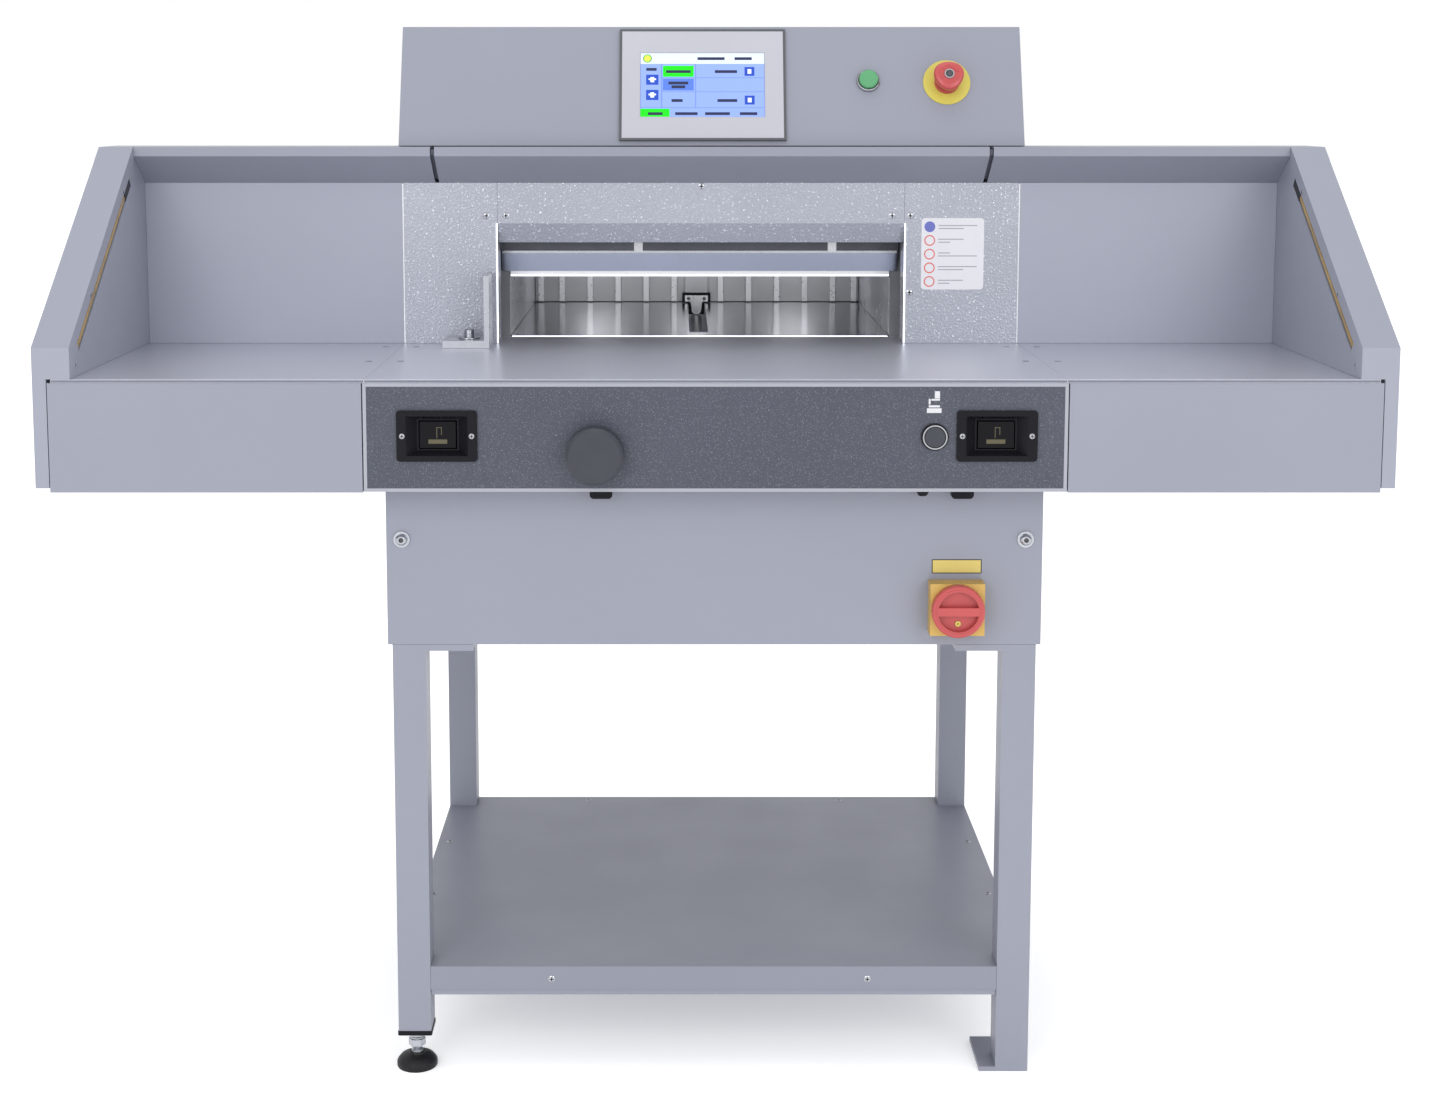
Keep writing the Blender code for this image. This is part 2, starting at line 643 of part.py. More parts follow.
def knife(parent):
    """The blade with its front bevel, the carrier bolted before it, and the rod that pulls both down."""
    edge = [(KNIFE_BACK, KNIFE_EDGE), (KNIFE_BACK, 1.075), (KNIFE_FRONT, 1.075), (KNIFE_FRONT, 0.989)]
    edge.append((KNIFE_BACK - 0.0015, KNIFE_EDGE))
    piece("knife_blade", prism(edge, "X", -0.285, 0.256), "knife_steel", parent)
    carrier = block((-0.300, 0.425, 1.046), (0.310, KNIFE_FRONT - GAP, 1.112))
    piece("knife_carrier", carrier, "cast_frame", parent)
    rod = block((0.282, KNIFE_FRONT, 0.6705), (0.300, 0.4635, 1.110))
    piece("pull_rod", rod, "zinc", parent)


def clamp_bar(parent):
    front = KNIFE_BACK + 0.0015
    low = (FRAME_LEFT + 0.001, front, CLAMP_BOTTOM)
    piece("clamp_bar", block(low, (FRAME_RIGHT - 0.001, 0.500, 1.045)), "aluminium", parent)


def gauge_outline():
    """The gauge seen from above: a plate with twelve raised fingers across its front."""
    middle = -0.0133
    plate_y, finger_half = GAUGE_FACE + 0.005, 0.0047
    steps = [-0.251, -0.2173, -0.1723, -0.1273, -0.0823, -0.0373]
    steps += [-step for step in reversed(steps)]
    outline = []
    for step in steps:
        low, high = middle + step - finger_half, middle + step + finger_half
        outline += [(low, plate_y), (low, GAUGE_FACE), (high, GAUGE_FACE), (high, plate_y)]
    return outline + [(0.2425, plate_y), (0.2425, 0.966), (-0.2690, 0.966), (-0.2690, plate_y)]


def back_gauge(parent):
    face = prism(gauge_outline(), "Z", TABLE_TOP + 0.001, 0.948)
    piece("gauge_face", face, "cast_frame", parent)
    front = GAUGE_FACE - 0.012
    bracket = block((GAUGE_X - 0.018, front, TABLE_TOP + 0.001), (GAUGE_X + 0.018, GAUGE_FACE - GAP, 0.930))
    carriage = piece("gauge_carriage", bracket, "aluminium", parent)
    weld(
        carriage,
        block((GAUGE_X - 0.0115, front, SCREW_Z), (GAUGE_X + 0.0115, GAUGE_FACE - GAP, TABLE_TOP + 0.002)),
        block((GAUGE_X - 0.020, front, 0.828), (GAUGE_X + 0.020, front + 0.030, 0.8585)),
    )
    cut(carriage, turned([(0.0085, 0.9), (0.0085, 1.0)], (GAUGE_X, 0.0, SCREW_Z), "Y"))
    centre = (GAUGE_X, 0.500, SCREW_Z)
    profile = [(0.008, 0.0), (0.008, 0.495)]
    piece("lead_screw", turned(profile, centre, "Y", 20), "zinc", parent, centre, True)


def side_lay(parent):
    foot = TABLE_TOP + GAP
    outline = [(-0.351, foot), (-0.290, foot), (-0.290, 0.965), (-0.297, 0.965), (-0.297, 0.880)]
    outline.append((-0.351, 0.880))
    piece("side_lay", prism(outline, "Y", 0.309, 0.3705), "zinc", parent)


def build():
    clear_scene()
    machine = empty("machine_frame", (0.0, FRONT_Y, 0.0))
    for row in ("front", "rear"):
        for side in ("left", "right"):
            leg(machine, side, row)
        shelf_rail(machine, row)
    levelling_foot(machine)
    lower_shelf(machine)
    base_cabinet(machine)
    base_front_cover(machine)
    main_switch(machine)
    cable_gland(machine)
    drive(machine)
    crossbeam(machine)
    tables(machine)
    front_beam(machine)
    round_button(machine)
    handwheel(machine)
    for side in ("left", "right"):
        cut_key(machine, side, machine)
        side_frame(machine, side)
        apron(machine, side)
        wing(machine, side)
        back_panel(machine, side)
    canopies(machine)
    portal(machine)
    head_cover(machine)
    rear_table_cover(machine)
    console(machine)
    console_rear_cover(machine)
    knife(machine)
    clamp_bar(machine)
    back_gauge(machine)
    side_lay(machine)


build()
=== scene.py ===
"""Looks of a floor-standing electric paper guillotine: finishes, small parts, light and camera."""
import math

import bmesh
import bpy
from mathutils import Matrix, Vector


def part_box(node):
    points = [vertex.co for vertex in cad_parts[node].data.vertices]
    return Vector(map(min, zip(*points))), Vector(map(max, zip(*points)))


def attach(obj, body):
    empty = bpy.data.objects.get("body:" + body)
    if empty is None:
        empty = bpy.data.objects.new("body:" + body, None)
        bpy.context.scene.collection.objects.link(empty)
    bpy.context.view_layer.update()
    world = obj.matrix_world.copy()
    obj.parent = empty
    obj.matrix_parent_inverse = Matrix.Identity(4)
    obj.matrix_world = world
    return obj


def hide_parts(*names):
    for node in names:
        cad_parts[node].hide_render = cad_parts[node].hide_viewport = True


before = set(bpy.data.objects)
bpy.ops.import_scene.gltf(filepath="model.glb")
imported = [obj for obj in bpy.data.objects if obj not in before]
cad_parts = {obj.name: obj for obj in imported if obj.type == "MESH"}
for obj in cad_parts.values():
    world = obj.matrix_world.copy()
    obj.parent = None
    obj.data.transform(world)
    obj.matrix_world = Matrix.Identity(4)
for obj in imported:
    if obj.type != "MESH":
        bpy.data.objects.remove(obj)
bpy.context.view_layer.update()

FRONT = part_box("front_table")[0].y
LEAN = math.radians(21.8)
CONSOLE = Matrix.Translation((0.0, 0.335, 1.1333)) @ Matrix.Rotation(-LEAN, 4, "X")
TABLE_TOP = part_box("front_table")[1].z
PORTAL_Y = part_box("portal_panel_left")[0].y - FRONT
COVER_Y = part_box("base_front_cover")[0].y - FRONT
ABOVE_TABLE = TABLE_TOP + 0.0006
LIFT = 0.00015  # the thickness of a label or a printed mark
TOUCH = 0.0001  # the gap between a small part and the face it sits on
PAPER_GAP = 0.00002  # the gap between a label and its face
COVER_SCREW = 0.0042  # the radius of the screw heads in the covers and the shelf
SIDES = (("left", -1), ("right", 1))
SMOOTH_ANGLE = math.radians(35)
BEVEL_ANGLE = math.radians(32)
NOISE_SPAN = (0.3, 0.7)  # the noise texture's values that a range stretches to its two ends


# Shapes, in metres: X to the right, Y behind the front plane, Z up. Each is a closed bmesh.


def block(low, high):
    shape = bmesh.new()
    bmesh.ops.create_cube(shape, size=1.0)
    for vertex in shape.verts:
        for axis in range(3):
            vertex.co[axis] = high[axis] if vertex.co[axis] > 0 else low[axis]
    return shape


def prism(outline, axis, start, end):
    shape = bmesh.new()
    corners = []
    for first, second in outline:
        place = [first, second]
        place.insert("XYZ".index(axis), start)
        corners.append(shape.verts.new(place))
    face = shape.faces.new(corners)
    sides = bmesh.ops.extrude_face_region(shape, geom=[face])
    shift = Vector((0.0, 0.0, 0.0))
    shift["XYZ".index(axis)] = end - start
    moved = [item for item in sides["geom"] if isinstance(item, bmesh.types.BMVert)]
    bmesh.ops.translate(shape, vec=shift, verts=moved)
    return shape


def turned(profile, centre, axis, steps=32, phase=0.0):
    """A (radius, height) profile revolved about an axis; a profile whose ends meet makes a ring."""
    shape = bmesh.new()
    along = "XYZ".index(axis)
    across = [other for other in range(3) if other != along]
    closed = profile[0] == profile[-1]
    rings = []
    for radius, height in profile[:-1] if closed else profile:
        ring = []
        for step in range(steps if radius > 0 else 1):
            angle = phase + 2 * math.pi * step / steps
            place = Vector(centre)
            place[along] += height
            place[across[0]] += radius * math.cos(angle)
            place[across[1]] += radius * math.sin(angle)
            ring.append(shape.verts.new(place))
        rings.append(ring)
    pairs = list(zip(rings, rings[1:] + rings[:1])) if closed else list(zip(rings, rings[1:]))
    for ring, following in pairs:
        for step in range(steps):
            corners = [ring[step % len(ring)], ring[(step + 1) % len(ring)]]
            corners += [following[(step + 1) % len(following)], following[step % len(following)]]
            shape.faces.new(list(dict.fromkeys(corners)))
    if not closed:
        for ring in (rings[0], rings[-1]):
            if len(ring) > 1:
                shape.faces.new(ring)
    return shape


def merged(*shapes):
    """Several closed shapes as the islands of one bmesh."""
    whole = bmesh.new()
    for shape in shapes:
        mesh = bpy.data.meshes.new("part")
        shape.to_mesh(mesh)
        shape.free()
        whole.from_mesh(mesh)
        bpy.data.meshes.remove(mesh)
    return whole


def turned_to(shape, matrix):
    bmesh.ops.transform(shape, matrix=matrix, verts=shape.verts[:])
    return shape


def rounded(x_low, x_high, z_low, z_high, radius, steps=5):
    """A rectangle with round corners, as (X, Z) corners."""
    corners = []
    for x, z, first in (
        (x_high - radius, z_high - radius, 0),
        (x_low + radius, z_high - radius, 90),
        (x_low + radius, z_low + radius, 180),
        (x_high - radius, z_low + radius, 270),
    ):
        for step in range(steps + 1):
            angle = math.radians(first + 90 * step / steps)
            corners.append((x + radius * math.cos(angle), z + radius * math.sin(angle)))
    return corners


# Finishes: every one is a node material on the Principled shader.


class Nodes:
    """A short way to write a material's node tree."""

    def __init__(self, name):
        self.material = bpy.data.materials.new(name)
        self.material.use_nodes = True
        self.tree = self.material.node_tree
        self.shader = self.tree.nodes["Principled BSDF"]

    def add(self, kind, links=(), values=(), **settings):
        node = self.tree.nodes.new("ShaderNode" + kind)
        for setting, value in settings.items():
            setattr(node, setting, value)
        for socket, value in values:
            node.inputs[socket].default_value = value
        for socket, source in links:
            self.tree.links.new(source, node.inputs[socket])
        return node

    def math(self, operation, first, second):
        node = self.add("Math", operation=operation)
        for socket, value in enumerate((first, second)):
            if isinstance(value, (int, float)):
                node.inputs[socket].default_value = value
            else:
                self.tree.links.new(value, node.inputs[socket])
        return node.outputs[0]

    def mix(self, factor, first, second):
        """A colour between two; each is a socket or an RGB triple."""
        node = self.add("Mix", data_type="RGBA")
        self.tree.links.new(factor, node.inputs[0])
        for socket, value in ((6, first), (7, second)):
            if isinstance(value, tuple):
                node.inputs[socket].default_value = (*value, 1.0)
            else:
                self.tree.links.new(value, node.inputs[socket])
        return node.outputs[2]

    def place(self, stretch=(1.0, 1.0, 1.0)):
        """The point on the object, in metres, stretched along its axes."""
        where = self.add("TexCoord").outputs["Object"]
        return self.add("Mapping", [("Vector", where)], [("Scale", stretch)]).outputs[0]

    def noise(self, where, scale, detail=2.0):
        values = [("Scale", scale), ("Detail", detail), ("Roughness", 0.55)]
        return self.add("TexNoise", [("Vector", where)], values).outputs[0]

    def ranged(self, source, low, high, to_low, to_high):
        values = [("From Min", low), ("From Max", high), ("To Min", to_low), ("To Max", to_high)]
        return self.add("MapRange", [("Value", source)], values).outputs[0]

    def set(self, **sockets):
        for socket, value in sockets.items():
            self.shader.inputs[socket.replace("_", " ")].default_value = value

    def link(self, source, socket):
        self.tree.links.new(source, self.shader.inputs[socket])

    def bump(self, height, strength, distance):
        values = [("Strength", strength), ("Distance", distance)]
        self.link(self.add("Bump", [("Height", height)], values).outputs[0], "Normal")


def shades(colour, amount):
    """A darker and a lighter tone of a colour."""
    return tuple(c * (1 - amount) for c in colour), tuple(min(1.0, c * (1 + amount)) for c in colour)


def finish(
    name, colour, rough, metal=0.0, cloud=(4.0, 0.05), grain=(900.0, 0.12, 0.0002), stretch=(1, 1, 1), **more
):
    """A surface with a cloudy tone, a fine grain in its height and a little wander in its roughness.

    cloud is the scale and the depth of the tone; grain is the scale, strength and distance of the bump.
    """
    nodes = Nodes(name)
    where = nodes.place()
    dark, light = shades(colour, cloud[1])
    tone = nodes.ranged(nodes.noise(where, cloud[0], 4.0), *NOISE_SPAN, 0.0, 1.0)
    nodes.link(nodes.mix(tone, dark, light), "Base Color")
    if grain:
        fine = nodes.noise(nodes.place(stretch), grain[0], 3.0)
        nodes.bump(fine, grain[1], grain[2])
    wander = nodes.noise(where, cloud[0] * 3.7, 3.0)
    nodes.link(nodes.ranged(wander, *NOISE_SPAN, rough[0], rough[1]), "Roughness")
    nodes.set(Metallic=metal, **more)
    return nodes.material


def paint(name, tone):
    """The satin grey-blue coat of the sheets, in one of its tones; its lighter and darker tones are painted
    light and shade.
    """
    return finish(name, tone, (0.36, 0.46), cloud=(2.5, 0.025), grain=(1500.0, 0.22, 0.0002))


def speckled(name, colour, spot, scale, cut, rough, bump, metal=0.0, **more):
    """A coat with small lighter flecks, such as a glitter inlay; on the hammered paint the near-white flecks
    are painted glints.
    """
    nodes = Nodes(name)
    where = nodes.place()
    fleck = nodes.noise(where, scale, 2.0)
    fleck_glint_mask = nodes.ranged(fleck, cut, cut + 0.10, 0.0, 1.0)
    dark, light = shades(colour, 0.05)
    tone = nodes.ranged(nodes.noise(where, 5.0, 3.0), *NOISE_SPAN, 0.0, 1.0)
    base = nodes.mix(tone, dark, light)
    nodes.link(nodes.mix(fleck_glint_mask, base, spot), "Base Color")
    nodes.link(nodes.ranged(fleck, 0.35, 0.75, rough[1], rough[0]), "Roughness")
    nodes.bump(fleck, *bump)
    nodes.set(Metallic=metal, **more)
    return nodes.material


def in_box(nodes, where, box):
    """1 inside a rectangle (x low, x high, z low, z high) of the face, 0 outside."""
    centre = ((box[0] + box[1]) / 2, 0.0, (box[2] + box[3]) / 2)
    shifted = nodes.add("VectorMath", [(0, where)], [(1, centre)], operation="SUBTRACT").outputs[0]
    size = nodes.add("VectorMath", [(0, shifted)], operation="ABSOLUTE").outputs[0]
    split = nodes.add("SeparateXYZ", [(0, size)])
    inside_x = nodes.math("LESS_THAN", split.outputs[0], (box[1] - box[0]) / 2)
    inside_z = nodes.math("LESS_THAN", split.outputs[2], (box[3] - box[2]) / 2)
    return nodes.math("MULTIPLY", inside_x, inside_z)


def in_ring(nodes, where, spot):
    """1 inside a ring (x, z, inner radius, outer radius) of the face, 0 outside."""
    flat = nodes.add("VectorMath", [(0, where)], [(1, (1.0, 0.0, 1.0))], operation="MULTIPLY").outputs[0]
    centre = (spot[0], 0.0, spot[1])
    away = nodes.add("VectorMath", [(0, flat)], [(1, centre)], operation="DISTANCE").outputs["Value"]
    inside = nodes.math("LESS_THAN", away, spot[3])
    return nodes.math("MULTIPLY", inside, nodes.math("GREATER_THAN", away, spot[2]))


def printed(name, colour, boxes, rings, console=False, rough=(0.3, 0.4), glow=0.0, **more):
    """A face with flat printed or lit rectangles and rings; their places are in metres on that face."""
    nodes = Nodes(name)
    if console:
        values = [("Location", CONSOLE_WORLD.to_translation()), ("Rotation", (-LEAN, 0.0, 0.0))]
        source = nodes.add("TexCoord").outputs["Object"]
        where = nodes.add("Mapping", [("Vector", source)], values, vector_type="TEXTURE").outputs[0]
    else:
        where = nodes.place()
    dark, light = shades(colour, 0.02)
    tone = nodes.ranged(nodes.noise(where, 9.0, 3.0), *NOISE_SPAN, 0.0, 1.0)
    shown = nodes.mix(tone, dark, light)
    for tint, box in boxes:
        shown = nodes.mix(in_box(nodes, where, box), shown, tint)
    for tint, spot in rings:
        shown = nodes.mix(in_ring(nodes, where, spot), shown, tint)
    nodes.link(shown, "Base Color")
    nodes.link(nodes.ranged(nodes.noise(where, 30.0, 2.0), *NOISE_SPAN, rough[0], rough[1]), "Roughness")
    if glow:
        nodes.link(shown, "Emission Color")
        nodes.set(Emission_Strength=glow)
    nodes.set(**more)
    return nodes.material


CONSOLE_WORLD = Matrix.Translation((0.0, FRONT, 0.0)) @ CONSOLE

PAINT = paint("paint_coat", (0.236, 0.247, 0.302))
# Lighter copies of the paint for the bays' back panels and the wings: painted light.
LIT_PANEL = paint("panel_coat_lit_copy", (0.315, 0.330, 0.402))
LIT_WING = paint("wing_coat_lit_copy", (0.262, 0.275, 0.336))
# A darker copy of the paint for the shelf: painted shade.
SHADED_SHELF = paint("shelf_coat_shaded_copy", (0.212, 0.222, 0.272))
# Painted shade for the front faces of the tables.
EDGE_SHADE = finish(
    "table_edge_shade", (0.150, 0.160, 0.205), (0.42, 0.52), 0.3, (6.0, 0.04), (900.0, 0.10, 0.0001)
)
SHADOW = finish(
    "gap_shadow", (0.055, 0.060, 0.082), (0.50, 0.60), cloud=(6.0, 0.04), grain=(1500.0, 0.15, 0.0002)
)
BEAM = finish(
    "beam_coat", (0.30, 0.31, 0.355), (0.34, 0.42), cloud=(3.0, 0.02), grain=(1500.0, 0.15, 0.0002)
)
# The near-white flecks in the hammered coat's colour are painted glints; its bump and roughness add real
# ones.
HAMMERED = speckled(
    "hammered_coat", (0.345, 0.360, 0.415), (0.80, 0.82, 0.88), 330.0, 0.62, (0.16, 0.42),
    (0.9, 0.0009), 0.35
)
FASCIA = speckled(
    "fascia_inlay", (0.042, 0.048, 0.069), (0.17, 0.18, 0.22), 950.0, 0.60, (0.38, 0.52), (0.15, 0.0001)
)
BLACK = finish(
    "black_moulding", (0.008, 0.008, 0.011), (0.20, 0.30), grain=(1300.0, 0.06, 0.0001),
    Specular_IOR_Level=0.12
)
GLOSS_BLACK = finish(
    "black_gloss", (0.004, 0.004, 0.006), (0.10, 0.18), grain=(200.0, 0.03, 0.0001),
    Specular_IOR_Level=0.14
)
RUBBER = finish(
    "foot_rubber", (0.010, 0.010, 0.012), (0.35, 0.50), grain=(500.0, 0.20, 0.0002),
    Specular_IOR_Level=0.25
)
TABLE = finish("table_ground", (0.66, 0.67, 0.735), (0.345, 0.355), 0.80, (5.0, 0.015), None)
BACK_TABLE = finish("back_table_ground", (0.36, 0.365, 0.395), (0.155, 0.165), 1.0, (9.0, 0.03), None)
ZINC = finish("zinc_plate", (0.44, 0.455, 0.49), (0.22, 0.32), 1.0, (40.0, 0.06), (900.0, 0.06, 0.00005))
CHROME = finish("bright_ring", (0.42, 0.43, 0.45), (0.10, 0.16), 1.0, (60.0, 0.04), (900.0, 0.04, 0.00005))
LAY = finish("lay_coat", (0.44, 0.45, 0.49), (0.26, 0.34), 0.45, (8.0, 0.03), (900.0, 0.08, 0.0001))
FINGER = finish(
    "finger_ground", (0.66, 0.67, 0.70), (0.26, 0.32), 0.6, (30.0, 0.04), (500.0, 0.02, 0.00003),
    (1, 1, 0.05)
)
# Painted shade: the dark coat of the band over the knife's bevel, where the lip shades the knife.
KNIFE_SHADE = finish(
    "knife_shade_band_coat", (0.10, 0.105, 0.125), (0.35, 0.45), 0.4, (12.0, 0.10), (400.0, 0.12, 0.0002)
)
CAST = finish("cast_coat", (0.20, 0.205, 0.225), (0.42, 0.60), 0.2, (8.0, 0.10), (260.0, 0.35, 0.0006))
GAUGE = finish(
    "gauge_ground", (0.36, 0.365, 0.385), (0.30, 0.36), 0.75, (14.0, 0.05), (420.0, 0.02, 0.00003),
    (1, 1, 0.04)
)
KNIFE = finish(
    "knife_ground", (0.48, 0.52, 0.63), (0.16, 0.24), 1.0, (5.0, 0.06), (520.0, 0.12, 0.0001),
    (0.03, 1, 1)
)
ALUMINIUM = finish(
    "bare_aluminium", (0.70, 0.71, 0.74), (0.24, 0.36), 0.9, (10.0, 0.05), (600.0, 0.12, 0.0001),
    (0.05, 1, 1)
)
# White plastic with a painted glow: its emission is painted light, for the cutting line's light on the stick
# and the lit lower edge of the clamp.
WHITE_GLOW = finish(
    "white_painted_glow", (0.86, 0.87, 0.90), (0.30, 0.40), cloud=(20.0, 0.03),
    Emission_Color=(0.90, 0.92, 1.0, 1.0), Emission_Strength=1.6
)
GLOW = finish(
    "lit_edge", (0.85, 0.87, 0.90), (0.20, 0.30), cloud=(30.0, 0.03),
    Emission_Color=(0.88, 0.93, 1.0, 1.0), Emission_Strength=1.2
)
RED = finish(
    "red_moulding", (0.43, 0.060, 0.062), (0.26, 0.38), cloud=(30.0, 0.05), grain=(1200.0, 0.08, 0.0001)
)
YELLOW = finish(
    "yellow_moulding", (0.50, 0.32, 0.075), (0.34, 0.46), cloud=(30.0, 0.04),
    grain=(1200.0, 0.10, 0.0001)
)
YELLOW_DISC = finish(
    "yellow_plate", (0.54, 0.47, 0.085), (0.30, 0.42), cloud=(30.0, 0.03), grain=(1200.0, 0.06, 0.0001)
)
GREEN = finish(
    "green_moulding", (0.085, 0.30, 0.135), (0.24, 0.36), cloud=(60.0, 0.06),
    grain=(900.0, 0.08, 0.0001)
)
KNOB = finish(
    "knob_moulding", (0.040, 0.043, 0.055), (0.34, 0.44), cloud=(40.0, 0.05),
    grain=(1600.0, 0.2, 0.0001), Specular_IOR_Level=0.3
)
LENS = finish(
    "amber_lens", (0.36, 0.215, 0.030), (0.14, 0.22), cloud=(25.0, 0.25), grain=(300.0, 0.06, 0.0001),
    Coat_Weight=0.6
)
OLIVE = finish("olive_print", (0.085, 0.072, 0.035), (0.40, 0.55), cloud=(90.0, 0.10))
LIGHT_PRINT = finish("light_print", (0.55, 0.56, 0.59), (0.40, 0.50), cloud=(90.0, 0.04))
DARK_STEEL = finish(
    "dark_steel", (0.10, 0.10, 0.11), (0.30, 0.45), 0.8, (60.0, 0.10), (900.0, 0.12, 0.0001)
)


# Objects.


def round_edges(thing, width, segments=2):
    bevel = thing.modifiers.new("Edges", "BEVEL")
    bevel.width = width
    bevel.segments = segments
    bevel.limit_method = "ANGLE"
    bevel.angle_limit = BEVEL_ANGLE
    bevel.use_clamp_overlap = True
    bevel.harden_normals = True


def piece(name, shape, material, body="machine", edge=0.0, console=False, smooth=True):
    """One piece in the machine's coordinates, or in the sloped console panel's."""
    if console:
        turned_to(shape, CONSOLE)
    bmesh.ops.translate(shape, vec=(0.0, FRONT, 0.0), verts=shape.verts[:])
    bmesh.ops.recalc_face_normals(shape, faces=shape.faces[:])
    mesh = bpy.data.meshes.new(name)
    shape.to_mesh(mesh)
    shape.free()
    if smooth:
        mesh.shade_smooth()
        mesh.set_sharp_from_angle(angle=SMOOTH_ANGLE)
    mesh.materials.append(material)
    thing = bpy.data.objects.new(name, mesh)
    bpy.context.scene.collection.objects.link(thing)
    if edge:
        round_edges(thing, edge)
    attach(thing, body)
    return thing


def dress(material, edge, *names):
    """Gives CAD nodes their finish, and rounds their edges."""
    for name in names:
        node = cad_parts[name]
        node.data.materials.clear()
        node.data.materials.append(material)
        if edge:
            node.data.shade_smooth()
            node.data.set_sharp_from_angle(angle=SMOOTH_ANGLE)
            round_edges(node, edge)


def dress_frame():
    sheets = ["shelf_rail_front", "shelf_rail_rear", "base_cabinet", "base_front_cover"]
    sheets += ["apron_left", "apron_right", "centre_hood"]
    sheets += ["canopy_left", "canopy_right", "head_cover", "rear_table_cover", "console_panel"]
    sheets += ["console_rear_cover"]
    dress(PAINT, 0.0006, *sheets)
    dress(LIT_PANEL, 0.0006, "back_panel_left", "back_panel_right")
    dress(SHADED_SHELF, 0.0006, "lower_shelf")
    dress(LIT_WING, 0.0006, "wing_left", "wing_right")
    dress(PAINT, 0.0012, "leg_front_left", "leg_front_right", "leg_rear_left", "leg_rear_right")
    dress(BEAM, 0.0004, "front_beam")
    dress(FASCIA, 0.0002, "fascia_panel")
    dress(HAMMERED, 0.0004, "portal_panel_left", "portal_panel_right", "throat_cover")
    dress(TABLE, 0.0005, "front_table", "side_table_left", "side_table_right")
    dress(BACK_TABLE, 0.0008, "back_table")
    # The cutting stick's glow is painted light.
    dress(WHITE_GLOW, 0.0004, "cutting_stick")
    dress(CAST, 0.0015, "side_frame_left", "side_frame_right", "crossbeam", "knife_carrier", "drive_motor")
    dress(ALUMINIUM, 0.0008, "clamp_bar")
    dress(GAUGE, 0.0006, "gauge_face", "gauge_carriage")
    dress(KNIFE, 0.0002, "knife_blade")
    dress(ZINC, 0.0008, "pull_rod", "drive_crank")
    dress(DARK_STEEL, 0.0004, "lead_screw")
    dress(LAY, 0.0010, "side_lay")
    dress(BLACK, 0.0012, "button_bezel_left", "button_bezel_right")
    dress(GLOSS_BLACK, 0.0010, "cut_key_left", "cut_key_right")
    dress(BLACK, 0.0004, "round_button_ring", "cable_gland")
    dress(KNOB, 0.0009, "handwheel", "round_button")
    dress(YELLOW, 0.0035, "main_switch_body")
    dress(RED, 0.0010, "main_switch_handle")
    dress(RED, 0.0008, "estop_button")
    dress(GREEN, 0.0006, "start_button")


def screw_head(place, axis, sign, radius, height=0.0012):
    """A low domed screw head with a cross slot, facing along sign times the axis."""
    profile = [(0.0, height), (radius * 0.45, height * 0.95), (radius * 0.8, height * 0.7)]
    profile += [(radius, height * 0.2), (radius, -0.0002)]
    return turned([(r, sign * h) for r, h in profile], place, axis, 20)


def cross_shade(place, axis, sign, radius, height=0.0012):
    """The dark cross of a screw: two thin bars set in its head, painted shade for its cross recess."""
    along = "XYZ".index(axis)
    across = [other for other in range(3) if other != along]
    bars = []
    for long_way, short_way in (across, across[::-1]):
        low, high = Vector(place), Vector(place)
        for vector, direction in ((low, -1), (high, 1)):
            vector[long_way] += direction * radius * 0.62
            vector[short_way] += direction * radius * 0.17
        ends = sorted((place[along] + sign * height * 0.5, place[along] + sign * (height + 0.00008)))
        low[along], high[along] = ends
        bars.append(block(low, high))
    return merged(*bars)


def screws(name, places, axis, sign, radius, material=None, body="machine", height=0.0012, console=False):
    heads = [screw_head(place, axis, sign, radius, height) for place in places]
    piece(name, merged(*heads), material or ZINC, body, console=console)
    # The dark crosses are painted shade for the screws' recesses.
    crosses = [cross_shade(place, axis, sign, radius, height) for place in places]
    piece(name + "_slot_shades", merged(*crosses), DARK_STEEL, body, console=console)


def hexagon(place, axis, radius, low, high):
    return turned([(radius, low), (radius, high)], place, axis, 6)


def ring(inner, outer, low, high, round_off=0.0):
    """The closed profile of a flat ring, for turned()."""
    corners = [(inner, low), (outer, low), (outer, high - round_off), (outer - round_off, high)]
    return [*corners, (inner, high), (inner, low)]


